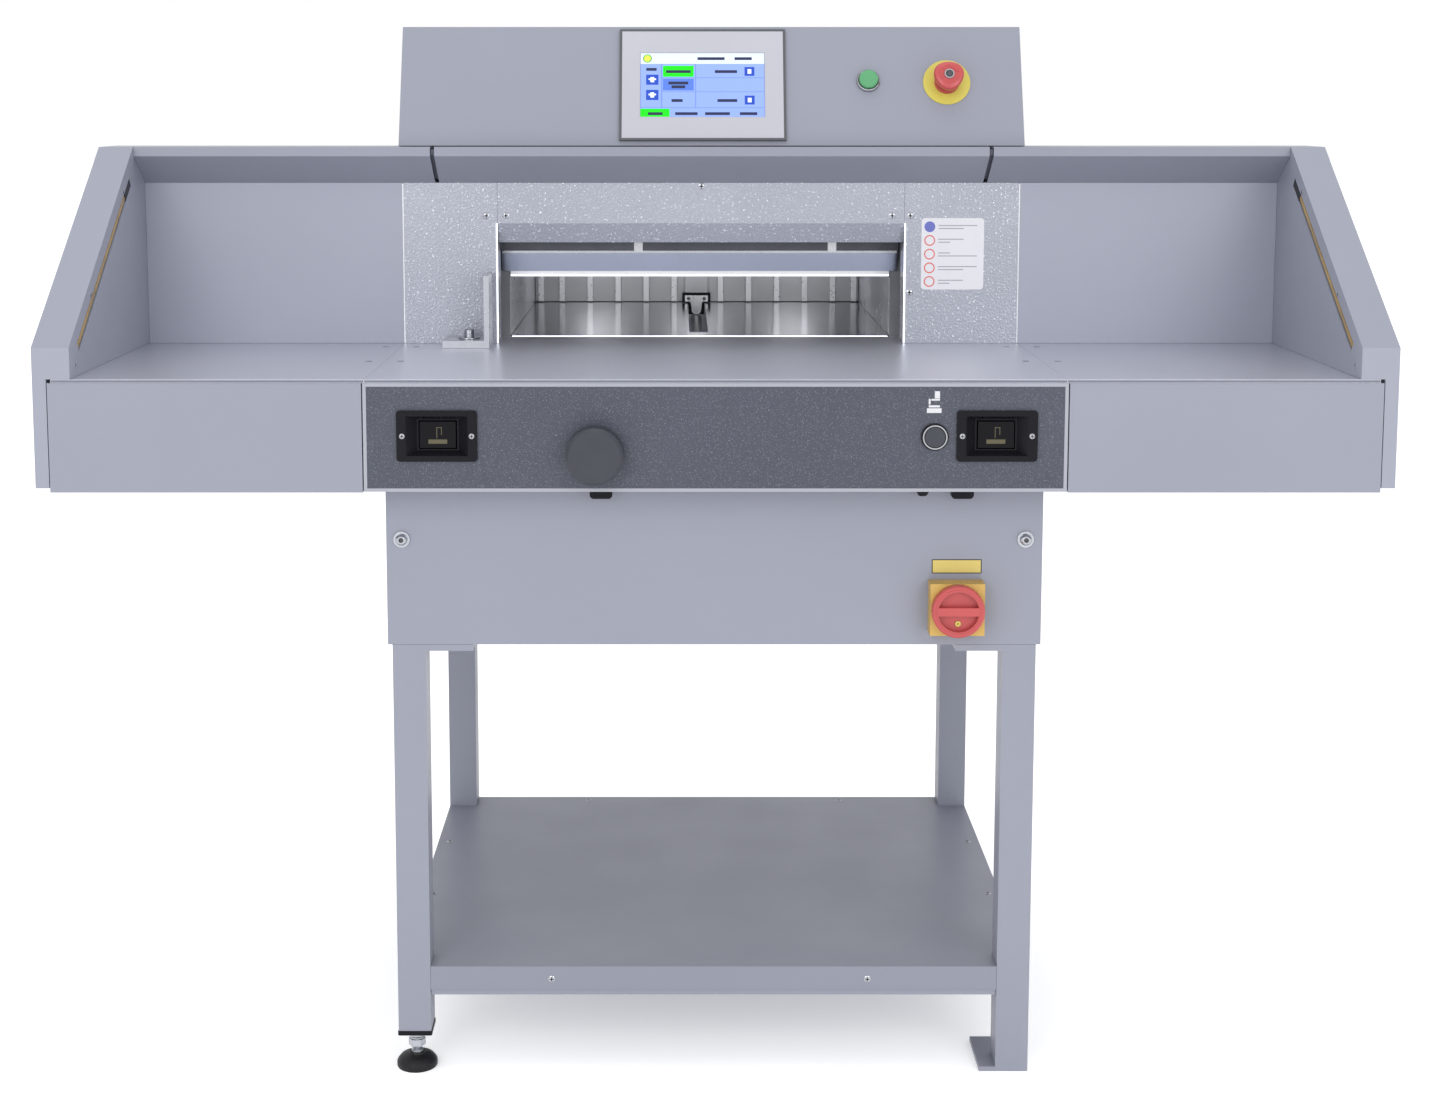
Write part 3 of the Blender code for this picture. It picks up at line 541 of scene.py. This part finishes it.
def foot():
    """The levelling foot in full: domed pad, threaded stud, lock nut and the leg's end cap."""
    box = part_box("levelling_foot")
    centre = ((box[0].x + box[1].x) / 2, (box[0].y + box[1].y) / 2 - FRONT, 0.0)
    dome = [(0.0, 0.0), (0.0246, 0.0), (0.025, 0.0008), (0.025, 0.0065), (0.0238, 0.0085)]
    dome += [(0.0205, 0.0125), (0.0150, 0.0150), (0.0105, 0.0158), (0.0095, 0.0180), (0.0, 0.0180)]
    pad = piece("foot_pad", turned(dome, centre, "Z", 48), RUBBER, "levelling_foot")
    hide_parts("levelling_foot")
    crest, root, pitch, stud_top = 0.0060, 0.0052, 0.00175, 0.0895
    thread = [(0.0, 0.0181), (0.0074, 0.0181), (0.0074, 0.0205), (root, 0.0215)]
    height = 0.0225
    while height < stud_top - 0.0015:
        thread += [(crest, height), (root, height + 0.4 * pitch)]
        height += pitch
    thread += [(0.0050, stud_top), (0.0, stud_top)]
    piece("foot_stud", turned(thread, centre, "Z", 24), ZINC, "levelling_foot")
    nut = hexagon(centre, "Z", 0.0108, 0.0262, 0.0352)
    washer = turned(ring(0.0061, 0.0088, 0.0353, 0.0375), centre, "Z", 32)
    profile = [(0.0061, 0.0376), (0.0092, 0.0382), (0.0102, 0.0405), (0.0102, 0.0461), (0.0061, 0.0461)]
    collar = turned(profile, centre, "Z", 32)
    piece("foot_lock_nut", merged(nut, washer), ZINC, "machine", 0.0006)
    piece("foot_collar", collar, ZINC, "machine")
    x, y = centre[0], centre[1]
    cap = prism(rounded(x - 0.0212, x + 0.0212, y - 0.0212, y + 0.0212, 0.003), "Z", 0.0462, 0.0518)
    piece("leg_end_cap", cap, BLACK, "machine", 0.0008)


def cover_bolts():
    """The two large bolts of the front cover, each with its washer."""
    for side, x in (("left", -0.375), ("right", 0.373)):
        place = (x, COVER_Y, 0.669)
        washer = turned(ring(0.0055, 0.0100, -0.0018, -TOUCH), place, "Y", 40)
        piece(f"cover_washer_{side}", washer, ZINC, "machine", 0.0003)
        head = [(0.0030, -0.0030), (0.0030, -0.0064), (0.0042, -0.0066), (0.0060, -0.0055), (0.0070, -0.0036)]
        head += [(0.0072, -0.0019), (0.0030, -0.0019), (0.0030, -0.0030)]
        piece(f"cover_bolt_{side}", turned(head, place, "Y", 32), ZINC, "machine")
        # The dark hexagon in the socket is painted shade in its recess.
        socket = turned([(0.0033, -0.0032), (0.0033, -0.0022)], place, "Y", 6)
        piece(f"cover_bolt_socket_{side}", socket, DARK_STEEL, "machine")


def console_parts():
    """The start button's bezel, and the emergency stop's disc, collar and marked head."""
    start = (0.206, 0.0, 0.090)
    bezel = [(0.0131, -0.0002), (0.0155, -0.0002), (0.0155, -0.0022), (0.0146, -0.0040), (0.0136, -0.0046)]
    bezel += [(0.0131, -0.0042), (0.0131, -0.0002)]
    piece("start_button_bezel", turned(bezel, start, "Y", 48), CHROME, "machine", console=True)
    stop = (0.309, 0.0, 0.088)
    disc = turned(ring(0.0142, 0.0310, -0.0016, -0.0002), stop, "Y", 64)
    piece("estop_plate", disc, YELLOW_DISC, "machine", 0.0003, console=True)
    collar = [(0.0141, -0.0017), (0.0166, -0.0017), (0.0166, -0.0060), (0.0158, -0.0080), (0.0141, -0.0080)]
    collar.append(collar[0])
    piece("estop_collar", turned(collar, stop, "Y", 48), RED, "machine", console=True)
    rim = turned(ring(0.0048, 0.0064, -0.0318, -0.0299), stop, "Y", 32)
    piece("estop_rim", rim, ZINC, "estop_button", console=True)
    profile = [(0.0, -0.0330), (0.0034, -0.0327), (0.0044, -0.0314), (0.0044, -0.0299), (0.0, -0.0299)]
    hub = turned(profile, stop, "Y", 24)
    piece("estop_hub", hub, DARK_STEEL, "estop_button", console=True)
    arrows = []
    for turn in range(3):
        outline = []
        first = math.radians(120 * turn + 15)
        for radius, way in ((0.0128, 1), (0.0098, -1)):
            for step in range(9) if way > 0 else range(8, -1, -1):
                angle = first + math.radians(80) * step / 8
                outline.append((stop[0] + radius * math.cos(angle), stop[2] + radius * math.sin(angle)))
        arrows.append(prism(outline, "Y", -0.0306, -0.0298))
    piece("estop_turn_marks", merged(*arrows), RED, "estop_button", console=True)


def console_faces():
    edge = (0.075, 0.078, 0.088)
    x_low, x_high, s_low, s_high = -0.1205, 0.0975, 0.006, 0.162
    rim = 0.0032
    boxes = [
        (edge, (x_low - 0.01, x_low + rim, 0.0, 0.2)),
        (edge, (x_high - rim, x_high + 0.01, 0.0, 0.2)),
        (edge, (x_low - 0.01, x_high + 0.01, 0.0, s_low + rim)),
        (edge, (x_low - 0.01, x_high + 0.01, s_high - rim, 0.2)),
        ((0.36, 0.36, 0.39), (-0.0940, 0.0705, 0.0379, 0.1293)),
    ]
    plate = printed("touch_plate_face", (0.40, 0.405, 0.455), boxes, [], console=True)
    dress(plate, 0.0006, "touch_panel")
    dress(screen_face(), 0.0, "screen")


def screen_face():
    """A generic control page: bars, tiles and plain strokes where words would be."""
    left, right, low, high = -0.093, 0.0695, 0.0389, 0.1283
    wide, tall = right - left, high - low

    def tile(x0, x1, z0, z1):
        return (left + wide * x0, left + wide * x1, high - tall * z1, high - tall * z0)

    pale, field, green, blue = (0.42, 0.48, 0.64), (0.165, 0.24, 0.60), (0.0, 0.50, 0.0), (0.055, 0.12, 0.42)
    navy, ink, white, line = (0.008, 0.04, 0.30), (0.008, 0.012, 0.04), (0.55, 0.60, 0.66), (0.10, 0.16, 0.48)
    boxes = [(pale, tile(-0.1, 1.1, -0.1, 0.17))]
    boxes += [(line, tile(0.165, 0.175, 0.17, 0.86)), (line, tile(0.44, 0.448, 0.17, 0.86))]
    boxes += [(line, tile(0.17, 1.1, 0.385, 0.395)), (line, tile(0.17, 1.1, 0.605, 0.615))]
    boxes += [(line, tile(-0.1, 1.1, 0.855, 0.865))]
    boxes += [(green, tile(0.18, 0.43, 0.20, 0.375)), (blue, tile(0.18, 0.43, 0.405, 0.59))]
    boxes += [(green, tile(0.0, 0.235, 0.875, 1.1))]
    for top in (0.34, 0.58):
        boxes.append((navy, tile(0.045, 0.145, top, top + 0.16)))
        boxes.append((white, tile(0.08, 0.11, top + 0.04, top + 0.12)))
        boxes += [(white, tile(0.065, 0.125, top + 0.06, top + 0.085))]
    for top in (0.22, 0.67):
        boxes.append((navy, tile(0.84, 0.92, top, top + 0.14)))
        boxes.append((white, tile(0.865, 0.895, top + 0.035, top + 0.105)))
    strokes = [(0.46, 0.68, 0.065), (0.76, 0.90, 0.065), (0.045, 0.13, 0.235), (0.205, 0.405, 0.27)]
    strokes += [(0.225, 0.385, 0.45), (0.25, 0.36, 0.51), (0.60, 0.78, 0.27), (0.62, 0.78, 0.725)]
    strokes += [(0.25, 0.34, 0.725), (0.06, 0.18, 0.93), (0.28, 0.46, 0.93)]
    strokes += [(0.52, 0.72, 0.93), (0.80, 0.94, 0.93)]
    for x0, x1, top in strokes:
        boxes.append((ink, tile(x0, x1, top, top + 0.045)))
    spot = (left + wide * 0.055, high - tall * 0.085)
    rings = [((0.05, 0.20, 0.02), (*spot, 0.0, 0.0058)), ((0.45, 0.80, 0.05), (*spot, 0.0, 0.0044))]
    return printed("screen_page", field, boxes, rings, True, (0.10, 0.16), 0.75)


def lens_strip(side, sign):
    """The light column's lens in its slot, with a dark block at its upper end."""
    slope = Vector((0.315, 0.225)).normalized()
    normal = Vector((-slope.y, slope.x))
    start = Vector((0.038, 0.903))

    def strip(first, last, half):
        near, far, side_step = start + slope * first, start + slope * last, normal * half
        corners = [near - side_step, far - side_step, far + side_step, near + side_step]
        return [tuple(corner) for corner in corners]

    def bar(name, outline, inner, outer, material, edge=0.0004):
        x = sorted((sign * inner, sign * outer))
        piece(f"{name}_{side}", prism(outline, "X", *x), material, "machine", edge)

    bar("light_lens", strip(0.0010, 0.285, 0.0030), 0.7497, 0.7535, LENS)
    bar("light_lens_end", strip(0.2856, 0.3174, 0.0060), 0.7493, 0.7535, BLACK)
    bar("light_lens_bed", strip(-0.003, 0.321, 0.0085), 0.7536, 0.7560, BLACK)
    spots = [tuple(start + slope * along + normal * 0.0125) for along in (0.081, 0.280)]
    spots += [(0.022, 0.884), (0.375, 0.892), (0.368, 1.088)]
    screws(f"wing_screws_{side}", [(sign * 0.7490, y, z) for y, z in spots], "X", -sign, 0.0028)


def side_lay_bolt():
    """The socket screw and washer that hold the side lay down on the table."""
    place = (-0.319, 0.338, 0.8801)
    washer = turned(ring(0.0060, 0.0140, 0.0, 0.0022), place, "Z", 48)
    piece("side_lay_washer", washer, ZINC, "machine", 0.0004)
    head = [(0.0030, 0.0062), (0.0030, 0.0125), (0.0058, 0.0125), (0.0066, 0.0118)]
    head += [(0.0066, 0.0023), (0.0030, 0.0023), (0.0030, 0.0062)]
    piece("side_lay_bolt", turned(head, place, "Z", 32), ZINC, "machine")
    # The dark hexagon in the socket is painted shade in its recess.
    socket = hexagon(place, "Z", 0.0034, 0.0040, 0.0066)
    piece("side_lay_bolt_socket", socket, DARK_STEEL, "machine")


def front_details():
    """The small parts of the front beam: bezel screws, key marks, button trim and catches."""
    for side, x in (("left", -0.324), ("right", 0.3275)):
        places = [(x - 0.0405, -0.0030, 0.804), (x + 0.0405, -0.0030, 0.804)]
        screws(f"bezel_screws_{side}", places, "Y", -1, 0.0032, GAUGE, height=0.0010)
        body = f"cut_key_{side}"
        bars = [(-0.0110, 0.0110, 0.7935, 0.7985), (-0.0014, -0.0006, 0.8000, 0.8130)]
        bars += [(0.0040, 0.0048, 0.8040, 0.8130), (-0.0006, 0.0040, 0.8122, 0.8130)]
        marks = [block((x + low, 0.0078, bottom), (x + high, 0.0082, top)) for low, high, bottom, top in bars]
        piece(f"cut_key_mark_{side}", merged(*marks), OLIVE, body)
    button = (0.255, 0.0, 0.803)
    trim = turned(ring(0.0128, 0.0143, -0.0056, -0.0044, 0.0003), button, "Y", 48)
    piece("round_button_trim", trim, CHROME, "machine")
    face = -TOUCH
    bars = [(0.2455, 0.2625, 0.8310, 0.8365), (0.2475, 0.2605, 0.8375, 0.8400)]
    bars += [(0.2475, 0.2497, 0.8410, 0.8475), (0.2505, 0.2605, 0.8455, 0.8475)]
    bars.append((0.2545, 0.2605, 0.8480, 0.8565))
    marks = [block((low, face - LIFT, bottom), (high, face, top)) for low, high, bottom, top in bars]
    piece("round_button_mark", merged(*marks), LIGHT_PRINT, "machine")
    for name, x_low, x_high in (("catch_left", -0.1485, -0.1215), ("catch_right", 0.2805, 0.3075)):
        outline = [(x_low, 0.7376), (x_high, 0.7376), (x_high, 0.7250), (x_high - 0.003, 0.7220)]
        outline += [(x_low + 0.003, 0.7220), (x_low, 0.7250)]
        piece(name, prism(outline, "Y", 0.038, 0.052), BLACK, "machine", 0.0015)
    profile = [(0.0075, 0.7376), (0.0075, 0.7300), (0.0050, 0.7255), (0.0, 0.7245)]
    plug = turned(profile, (0.247, 0.044, 0.0), "Z", 32)
    piece("beam_plug", plug, BLACK, "machine")


def main_switch_details():
    """The padlock eye in the handle's lower hollow, and a thin rim round its face."""
    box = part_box("main_switch_handle")
    x, z, face = (box[0].x + box[1].x) / 2, (box[0].z + box[1].z) / 2, box[0].y - FRONT
    eye = turned(ring(0.0010, 0.0034, 0.0066, 0.0079), (x, face, z - 0.0155), "Y", 24)
    piece("main_switch_eye", eye, YELLOW_DISC, "main_switch_handle", 0.0002)
    rim = turned(ring(0.0262, 0.0272, -0.0005, -TOUCH), (x, face, z), "Y", 64)
    piece("main_switch_rim", rim, RED, "main_switch_handle")


def labels():
    """The yellow label over the main switch and the sticker on the portal, with plain bars and rings."""
    face = COVER_Y
    outline = rounded(0.2610, 0.3210, 0.6273, 0.6447, 0.0010)
    ink = (0.02, 0.02, 0.02)
    edges = [(0.20, 0.2622, 0.6, 0.7), (0.3198, 0.34, 0.6, 0.7)]
    edges += [(0.20, 0.34, 0.6, 0.6285), (0.20, 0.34, 0.6435, 0.7)]
    boxes = [(ink, edge) for edge in edges]
    material = printed("yellow_label", (0.56, 0.44, 0.12), boxes, [], rough=(0.35, 0.45))
    label = prism(outline, "Y", face - LIFT, face - PAPER_GAP)
    piece("switch_label", label, material, "machine")
    x0, x1, z0, z1 = 0.2790, 0.3620, 0.9420, 1.0370
    boxes, rings = [], []
    for row in range(5):
        middle = z1 - 0.0115 - row * 0.0182
        tint = (0.12, 0.14, 0.45) if row == 0 else (0.62, 0.12, 0.10)
        inner = 0.0 if row == 0 else 0.0056
        rings.append((tint, (x0 + 0.0110, middle, inner, 0.0072)))
        for line in range(2):
            z = middle + 0.0016 - line * 0.0040
            end = x0 + (0.074 - 0.018 * ((row + line) % 3))
            boxes.append(((0.32, 0.32, 0.36), (x0 + 0.0225, end, z - 0.0007, z + 0.0007)))
    material = printed("white_label", (0.66, 0.66, 0.70), boxes, rings, rough=(0.30, 0.40))
    outline = rounded(x0, x1, z0, z1, 0.0045)
    label = prism(outline, "Y", PORTAL_Y - 2 * LIFT, PORTAL_Y - PAPER_GAP)
    piece("portal_label", label, material, "machine")


def portal_details():
    """Screws, the bright edges of the throat, and the seams beside the portal."""
    spots = [(x, 1.040) for x in (-0.298, -0.272, 0.240, 0.264)]
    spots += [(-0.013, 1.079), (0.264, 0.938)]
    screws("portal_screws", [(x, PORTAL_Y, z) for x, z in spots], "Y", -1, 0.0046)
    for side, low, high in (("left", -0.2852, -0.2830), ("right", 0.2560, 0.2582)):
        strip = block((low, PORTAL_Y - 0.0010, ABOVE_TABLE), (high, PORTAL_Y - TOUCH, 1.0300))
        piece(f"throat_edge_{side}", strip, GLOW, "machine", 0.0003)
    for side, sign in SIDES:
        x = sorted((sign * 0.4072, sign * 0.4088))
        seam = block((x[0], PORTAL_Y - 0.0005, ABOVE_TABLE), (x[1], PORTAL_Y - TOUCH, 1.0825))
        piece(f"panel_seam_{side}", seam, FINGER, "machine")


def hood_gaps():
    """A dark piece in the gap between the hood and each canopy: painted shadow."""
    for side, sign in SIDES:
        x = sorted((sign * 0.3598, sign * 0.3647))
        outline = [(0.3180, 1.1290), (0.3180, 1.1218), (0.3695, 1.0887), (0.3695, 1.0947)]
        outline += [(0.3220, 1.1252), (0.3320, 1.1252), (0.3320, 1.1290)]
        piece(f"hood_gap_{side}", prism(outline, "X", *x), SHADOW, "machine")


def knife_front():
    """What shows of the knife over its bevel: a bright land, and over it a dark band of painted shade behind
    the lip.
    """
    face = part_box("knife_blade")[0].y - FRONT
    low, high = -0.2840, 0.2550
    land = block((low, face - 0.0012, 0.9845), (high, face - TOUCH, 0.9885))
    piece("knife_land", land, ZINC, "knife", 0.0003)
    # A dark band of painted shade over the land.
    shade_band = block((low, face - 0.0022, 0.9890), (high, face - TOUCH, 1.0400))
    piece("knife_shade_band", shade_band, KNIFE_SHADE, "knife", 0.0004)
    back, top, half = face - 0.0023, 1.0000, 0.006
    clips = [block((x - half, face - 0.0034, 0.9865), (x + half, back, top)) for x in (-0.098, 0.166)]
    piece("knife_clips", merged(*clips), FINGER, "knife", 0.0004)
    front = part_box("clamp_bar")[0].y - FRONT
    # The clamp's lower edge: a strip in the white glow, a painted highlight.
    sole = block((-0.2735, front - 0.0011, 0.9523), (0.2455, front - TOUCH, 0.9546))
    piece("clamp_edge_glow", sole, WHITE_GLOW, "clamp", 0.0003)


def gauge_fingers():
    """Ground finger plates on the back gauge, each with two dark discs of painted shade for its holes, and
    the fillers at its two ends.
    """
    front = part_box("gauge_face")[0].y - FRONT
    middle = -0.0133
    steps = [-0.251, -0.2173, -0.1723, -0.1273, -0.0823, -0.0373]
    steps += [-step for step in reversed(steps)]
    low, high, half = 0.8716, 0.9470, 0.0044
    plates = [
        block((middle + step - half, front - 0.0012, low), (middle + step + half, front - TOUCH, high))
        for step in steps
    ]
    piece("gauge_finger_plates", merged(*plates), FINGER, "back_gauge", 0.0004)
    # Two dark discs on each plate: painted shade for its holes.
    heads = [
        turned([(0.0018, -0.0017), (0.0018, -0.0011)], (middle + step, front, z), "Y", 16)
        for step in steps
        for z in (0.936, 0.915)
    ]
    piece("gauge_finger_hole_shades", merged(*heads), DARK_STEEL, "back_gauge")
    spans = ((-0.2737, -0.2691), (0.2426, 0.2457))
    ends = [block((x0, front + 0.0055, low), (x1, front + 0.0120, high)) for x0, x1 in spans]
    piece("gauge_ends", merged(*ends), GAUGE, "back_gauge", 0.0003)


def gauge_bracket():
    """The bright T under the gauge's middle, over the dark slot that it runs in."""
    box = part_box("gauge_carriage")
    x, front = (box[0].x + box[1].x) / 2, box[0].y - FRONT
    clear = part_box("lead_screw")[1].z + 0.0006
    shadows = [block((x - 0.0225, front - 0.0008, ABOVE_TABLE), (x + 0.0225, front - TOUCH, 0.8865))]
    shadows.append(block((x - 0.0128, front - 0.0008, clear), (x + 0.0128, front - TOUCH, TABLE_TOP)))
    piece("gauge_bracket_shadow", merged(*shadows), BLACK, "back_gauge")
    front -= 0.0009
    outline = [(x - 0.0185, 0.8722), (x - 0.0095, 0.8722), (x - 0.0070, clear + 0.0040), (x - 0.0030, clear)]
    outline += [(x + 0.0030, clear), (x + 0.0070, clear + 0.0040), (x + 0.0095, 0.8722), (x + 0.0185, 0.8722)]
    outline += [(x + 0.0185, 0.8820), (x - 0.0185, 0.8820)]
    cap = prism(outline, "Y", front - 0.0035, front - TOUCH)
    piece("gauge_bracket_cap", cap, FINGER, "back_gauge", 0.0006)
    heads = [hexagon((x + way * 0.0125, front, 0.8771), "Y", 0.0030, -0.0052, -0.0036) for way in (-1, 1)]
    piece("gauge_bracket_screws", merged(*heads), DARK_STEEL, "back_gauge", 0.0003)


def throat_walls():
    """Steel liners on the frames beside the paper, and cheeks between them and the portal."""
    frames = (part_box("side_frame_left")[1].x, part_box("side_frame_right")[0].x)
    for side, wall, way in (("left", frames[0], 1), ("right", frames[1], -1)):
        x = sorted((wall + way * TOUCH, wall + way * 0.0007))
        liner = block((x[0], 0.4655, ABOVE_TABLE), (x[1], 0.9850, 0.9510))
        piece(f"throat_liner_{side}", liner, LAY, "machine")
        edge = -0.2850 if side == "left" else 0.2580
        x = sorted((edge, edge + way * 0.0010))
        cheek = block((x[0], 0.3740, ABOVE_TABLE), (x[1], 0.4235, 1.0020))
        piece(f"throat_cheek_{side}", cheek, LAY, "machine", 0.0002)


def louvres(name, x_half, first, pitch, count, wall):
    """Pressed ventilation louvres on a rear wall: bulged hoods over black blocks, painted shade in the slots.
    """
    hoods, slot_shades = [], []
    for row in range(count):
        z = first + row * pitch
        outline = [(wall + TOUCH, z + 0.0075), (wall + 0.0028, z + 0.0060), (wall + 0.0045, z + 0.0030)]
        outline += [(wall + 0.0050, z), (wall + 0.0042, z - 0.0002), (wall + TOUCH, z + 0.0062)]
        hoods.append(prism(outline, "X", -x_half, x_half))
        inset = x_half - 0.003
        # A black block in each slot: painted shade.
        slot_shades.append(block((-inset, wall + TOUCH, z - 0.0005), (inset, wall + 0.0003, z + 0.0050)))
    piece(name, merged(*hoods), PAINT, "machine", 0.0003)
    piece(name + "_slot_shades", merged(*slot_shades), BLACK, "machine")


def side_screws(name, cover, depths, heights):
    """The same screws in the left and the right wall of a cover."""
    low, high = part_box(cover)
    for side, x, way in (("left", low.x, -1), ("right", high.x, 1)):
        spots = [(x, y, z) for y in depths for z in heights]
        screws(f"{name}_{side}", spots, "X", way, COVER_SCREW)


def rear_details():
    """Louvres and screws of the covers, and the nut of the cable gland."""
    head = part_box("head_cover")[1].y - FRONT
    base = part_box("base_cabinet")[1].y - FRONT
    louvres("head_louvres", 0.150, 1.036, 0.015, 5, head)
    louvres("base_louvres", 0.200, 0.575, 0.017, 9, base)
    spots = [(x, head, z) for x in (-0.395, 0.395) for z in (0.885, 1.000, 1.115)]
    screws("head_cover_screws", spots, "Y", 1, COVER_SCREW)
    spots = [(x, base, z) for x in (-0.380, 0.380) for z in (0.555, 0.700, 0.845)]
    screws("base_cover_screws", spots, "Y", 1, COVER_SCREW)
    side_screws("tail_cover_screws", "rear_table_cover", (0.760, 0.995), (0.815, 0.985))
    side_screws("cabinet_side_screws", "base_cabinet", (0.085, 0.380, 0.675), (0.556,))
    side_screws("head_side_screws", "head_cover", (0.425, 0.675), (0.890, 1.110))
    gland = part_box("cable_gland")
    centre = ((gland[0].x + gland[1].x) / 2, base, (gland[0].z + gland[1].z) / 2)
    profile = [(0.0134, 0.0002), (0.0155, 0.0002), (0.0155, 0.0060), (0.0134, 0.0060), (0.0134, 0.0002)]
    nut = turned(profile, centre, "Y", 6)
    piece("gland_nut", nut, BLACK, "machine", 0.0006)


def table_edges():
    """A darker strip over the front face of each table: painted shade."""
    for table in ("front_table", "side_table_left", "side_table_right"):
        low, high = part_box(table)
        edge = block((low.x + 0.0004, -0.0004, low.z + 0.0004), (high.x - 0.0004, -TOUCH, high.z - 0.0006))
        piece(f"{table}_edge", edge, EDGE_SHADE, "machine")


def table_screws():
    spots = []
    for x in (-0.408, 0.408):
        spots += [(x - 0.020, 0.175), (x + 0.020, 0.175), (x - 0.020, 0.330), (x + 0.020, 0.330)]
    # A dark ring round each screw head: painted shade in the gap round it.
    shade_rings = [turned(ring(0.0016, 0.0042, 0.00002, 0.00018), (x, y, TABLE_TOP), "Z", 32) for x, y in spots]
    piece("table_screw_shade_rings", merged(*shade_rings), DARK_STEEL, "machine")
    discs = [turned([(0.0034, TOUCH), (0.0034, 0.0003)], (x, y, TABLE_TOP), "Z", 32) for x, y in spots]
    piece("table_screws", merged(*discs), ZINC, "machine")


def shelf_screws():
    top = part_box("lower_shelf")[1].z
    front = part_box("lower_shelf")[0].y - FRONT
    screws("shelf_front_screws", [(-0.199, front, 0.119), (0.189, front, 0.119)], "Y", -1, COVER_SCREW)
    spots = [(-0.372, 0.30), (-0.372, 0.50), (0.372, 0.30), (0.372, 0.50), (-0.180, 0.680), (0.200, 0.680)]
    screws("shelf_top_screws", [(x, y, top) for x, y in spots], "Z", 1, COVER_SCREW)


def studio():
    scene = bpy.context.scene
    scene.view_settings.view_transform = "Standard"
    world = bpy.data.worlds.new("studio")
    scene.world = world
    world.use_nodes = True
    background = world.node_tree.nodes["Background"]
    background.inputs["Color"].default_value = (1.0, 1.0, 1.0, 1.0)
    background.inputs["Strength"].default_value = 1.0
    floor = piece_floor()
    lamp("key_light", (-1.5, -3.4, 2.1), (0.0, -0.1, 0.8), 1.6, 29.5)
    lamp("fill_light", (1.9, -3.2, 1.8), (0.1, -0.1, 0.8), 1.6, 22.5)
    lamp("top_light", (0.0, -0.3, 3.4), (0.0, 0.0, 0.8), 1.8, 12.0)
    for x in (-0.18, -0.015, 0.15):
        place, target = (x, FRONT + 0.76, 0.965), (x, FRONT + 0.86, 0.87)
        lamp(f"throat_light_{x:.2f}", place, target, 0.05, 0.11)


def piece_floor():
    shape = bmesh.new()
    bmesh.ops.create_grid(shape, x_segments=1, y_segments=1, size=40.0)
    mesh = bpy.data.meshes.new("floor")
    shape.to_mesh(mesh)
    shape.free()
    mesh.materials.append(
        finish(
            "floor_coat", (0.96, 0.96, 0.965), (0.85, 0.95), cloud=(0.8, 0.01), grain=(80.0, 0.02, 0.0002),
            Emission_Color=(1.0, 1.0, 1.0, 1.0), Emission_Strength=0.30
        )
    )
    floor = bpy.data.objects.new("floor", mesh)
    bpy.context.scene.collection.objects.link(floor)
    return floor


def lamp(name, place, target, size, power):
    data = bpy.data.lights.new(name, "AREA")
    data.shape = "SQUARE"
    data.size = size
    data.energy = power
    thing = bpy.data.objects.new(name, data)
    thing.location = place
    thing.rotation_euler = (Vector(target) - Vector(place)).to_track_quat("-Z", "Y").to_euler()
    bpy.context.scene.collection.objects.link(thing)


def camera():
    """The photo's view: eye height near the console's top, a long lens moved down by its shift."""
    data = bpy.data.cameras.new("camera")
    data.sensor_width = 36.0
    data.lens = 52.50
    data.shift_x = 0.0295
    data.shift_y = -0.145
    thing = bpy.data.objects.new("camera", data)
    thing.location = (-0.0414, -2.9147, 1.1900)
    looking_down = 0.1170
    thing.rotation_euler = (math.pi / 2 - looking_down, 0.0, 0.0)
    bpy.context.scene.collection.objects.link(thing)
    bpy.context.scene.camera = thing


camera()
studio()
dress_frame()
console_faces()
console_parts()
foot()
cover_bolts()
for side, sign in SIDES:
    lens_strip(side, sign)
side_lay_bolt()
front_details()
main_switch_details()
labels()
portal_details()
hood_gaps()
knife_front()
gauge_fingers()
gauge_bracket()
throat_walls()
rear_details()
table_edges()
table_screws()
shelf_screws()
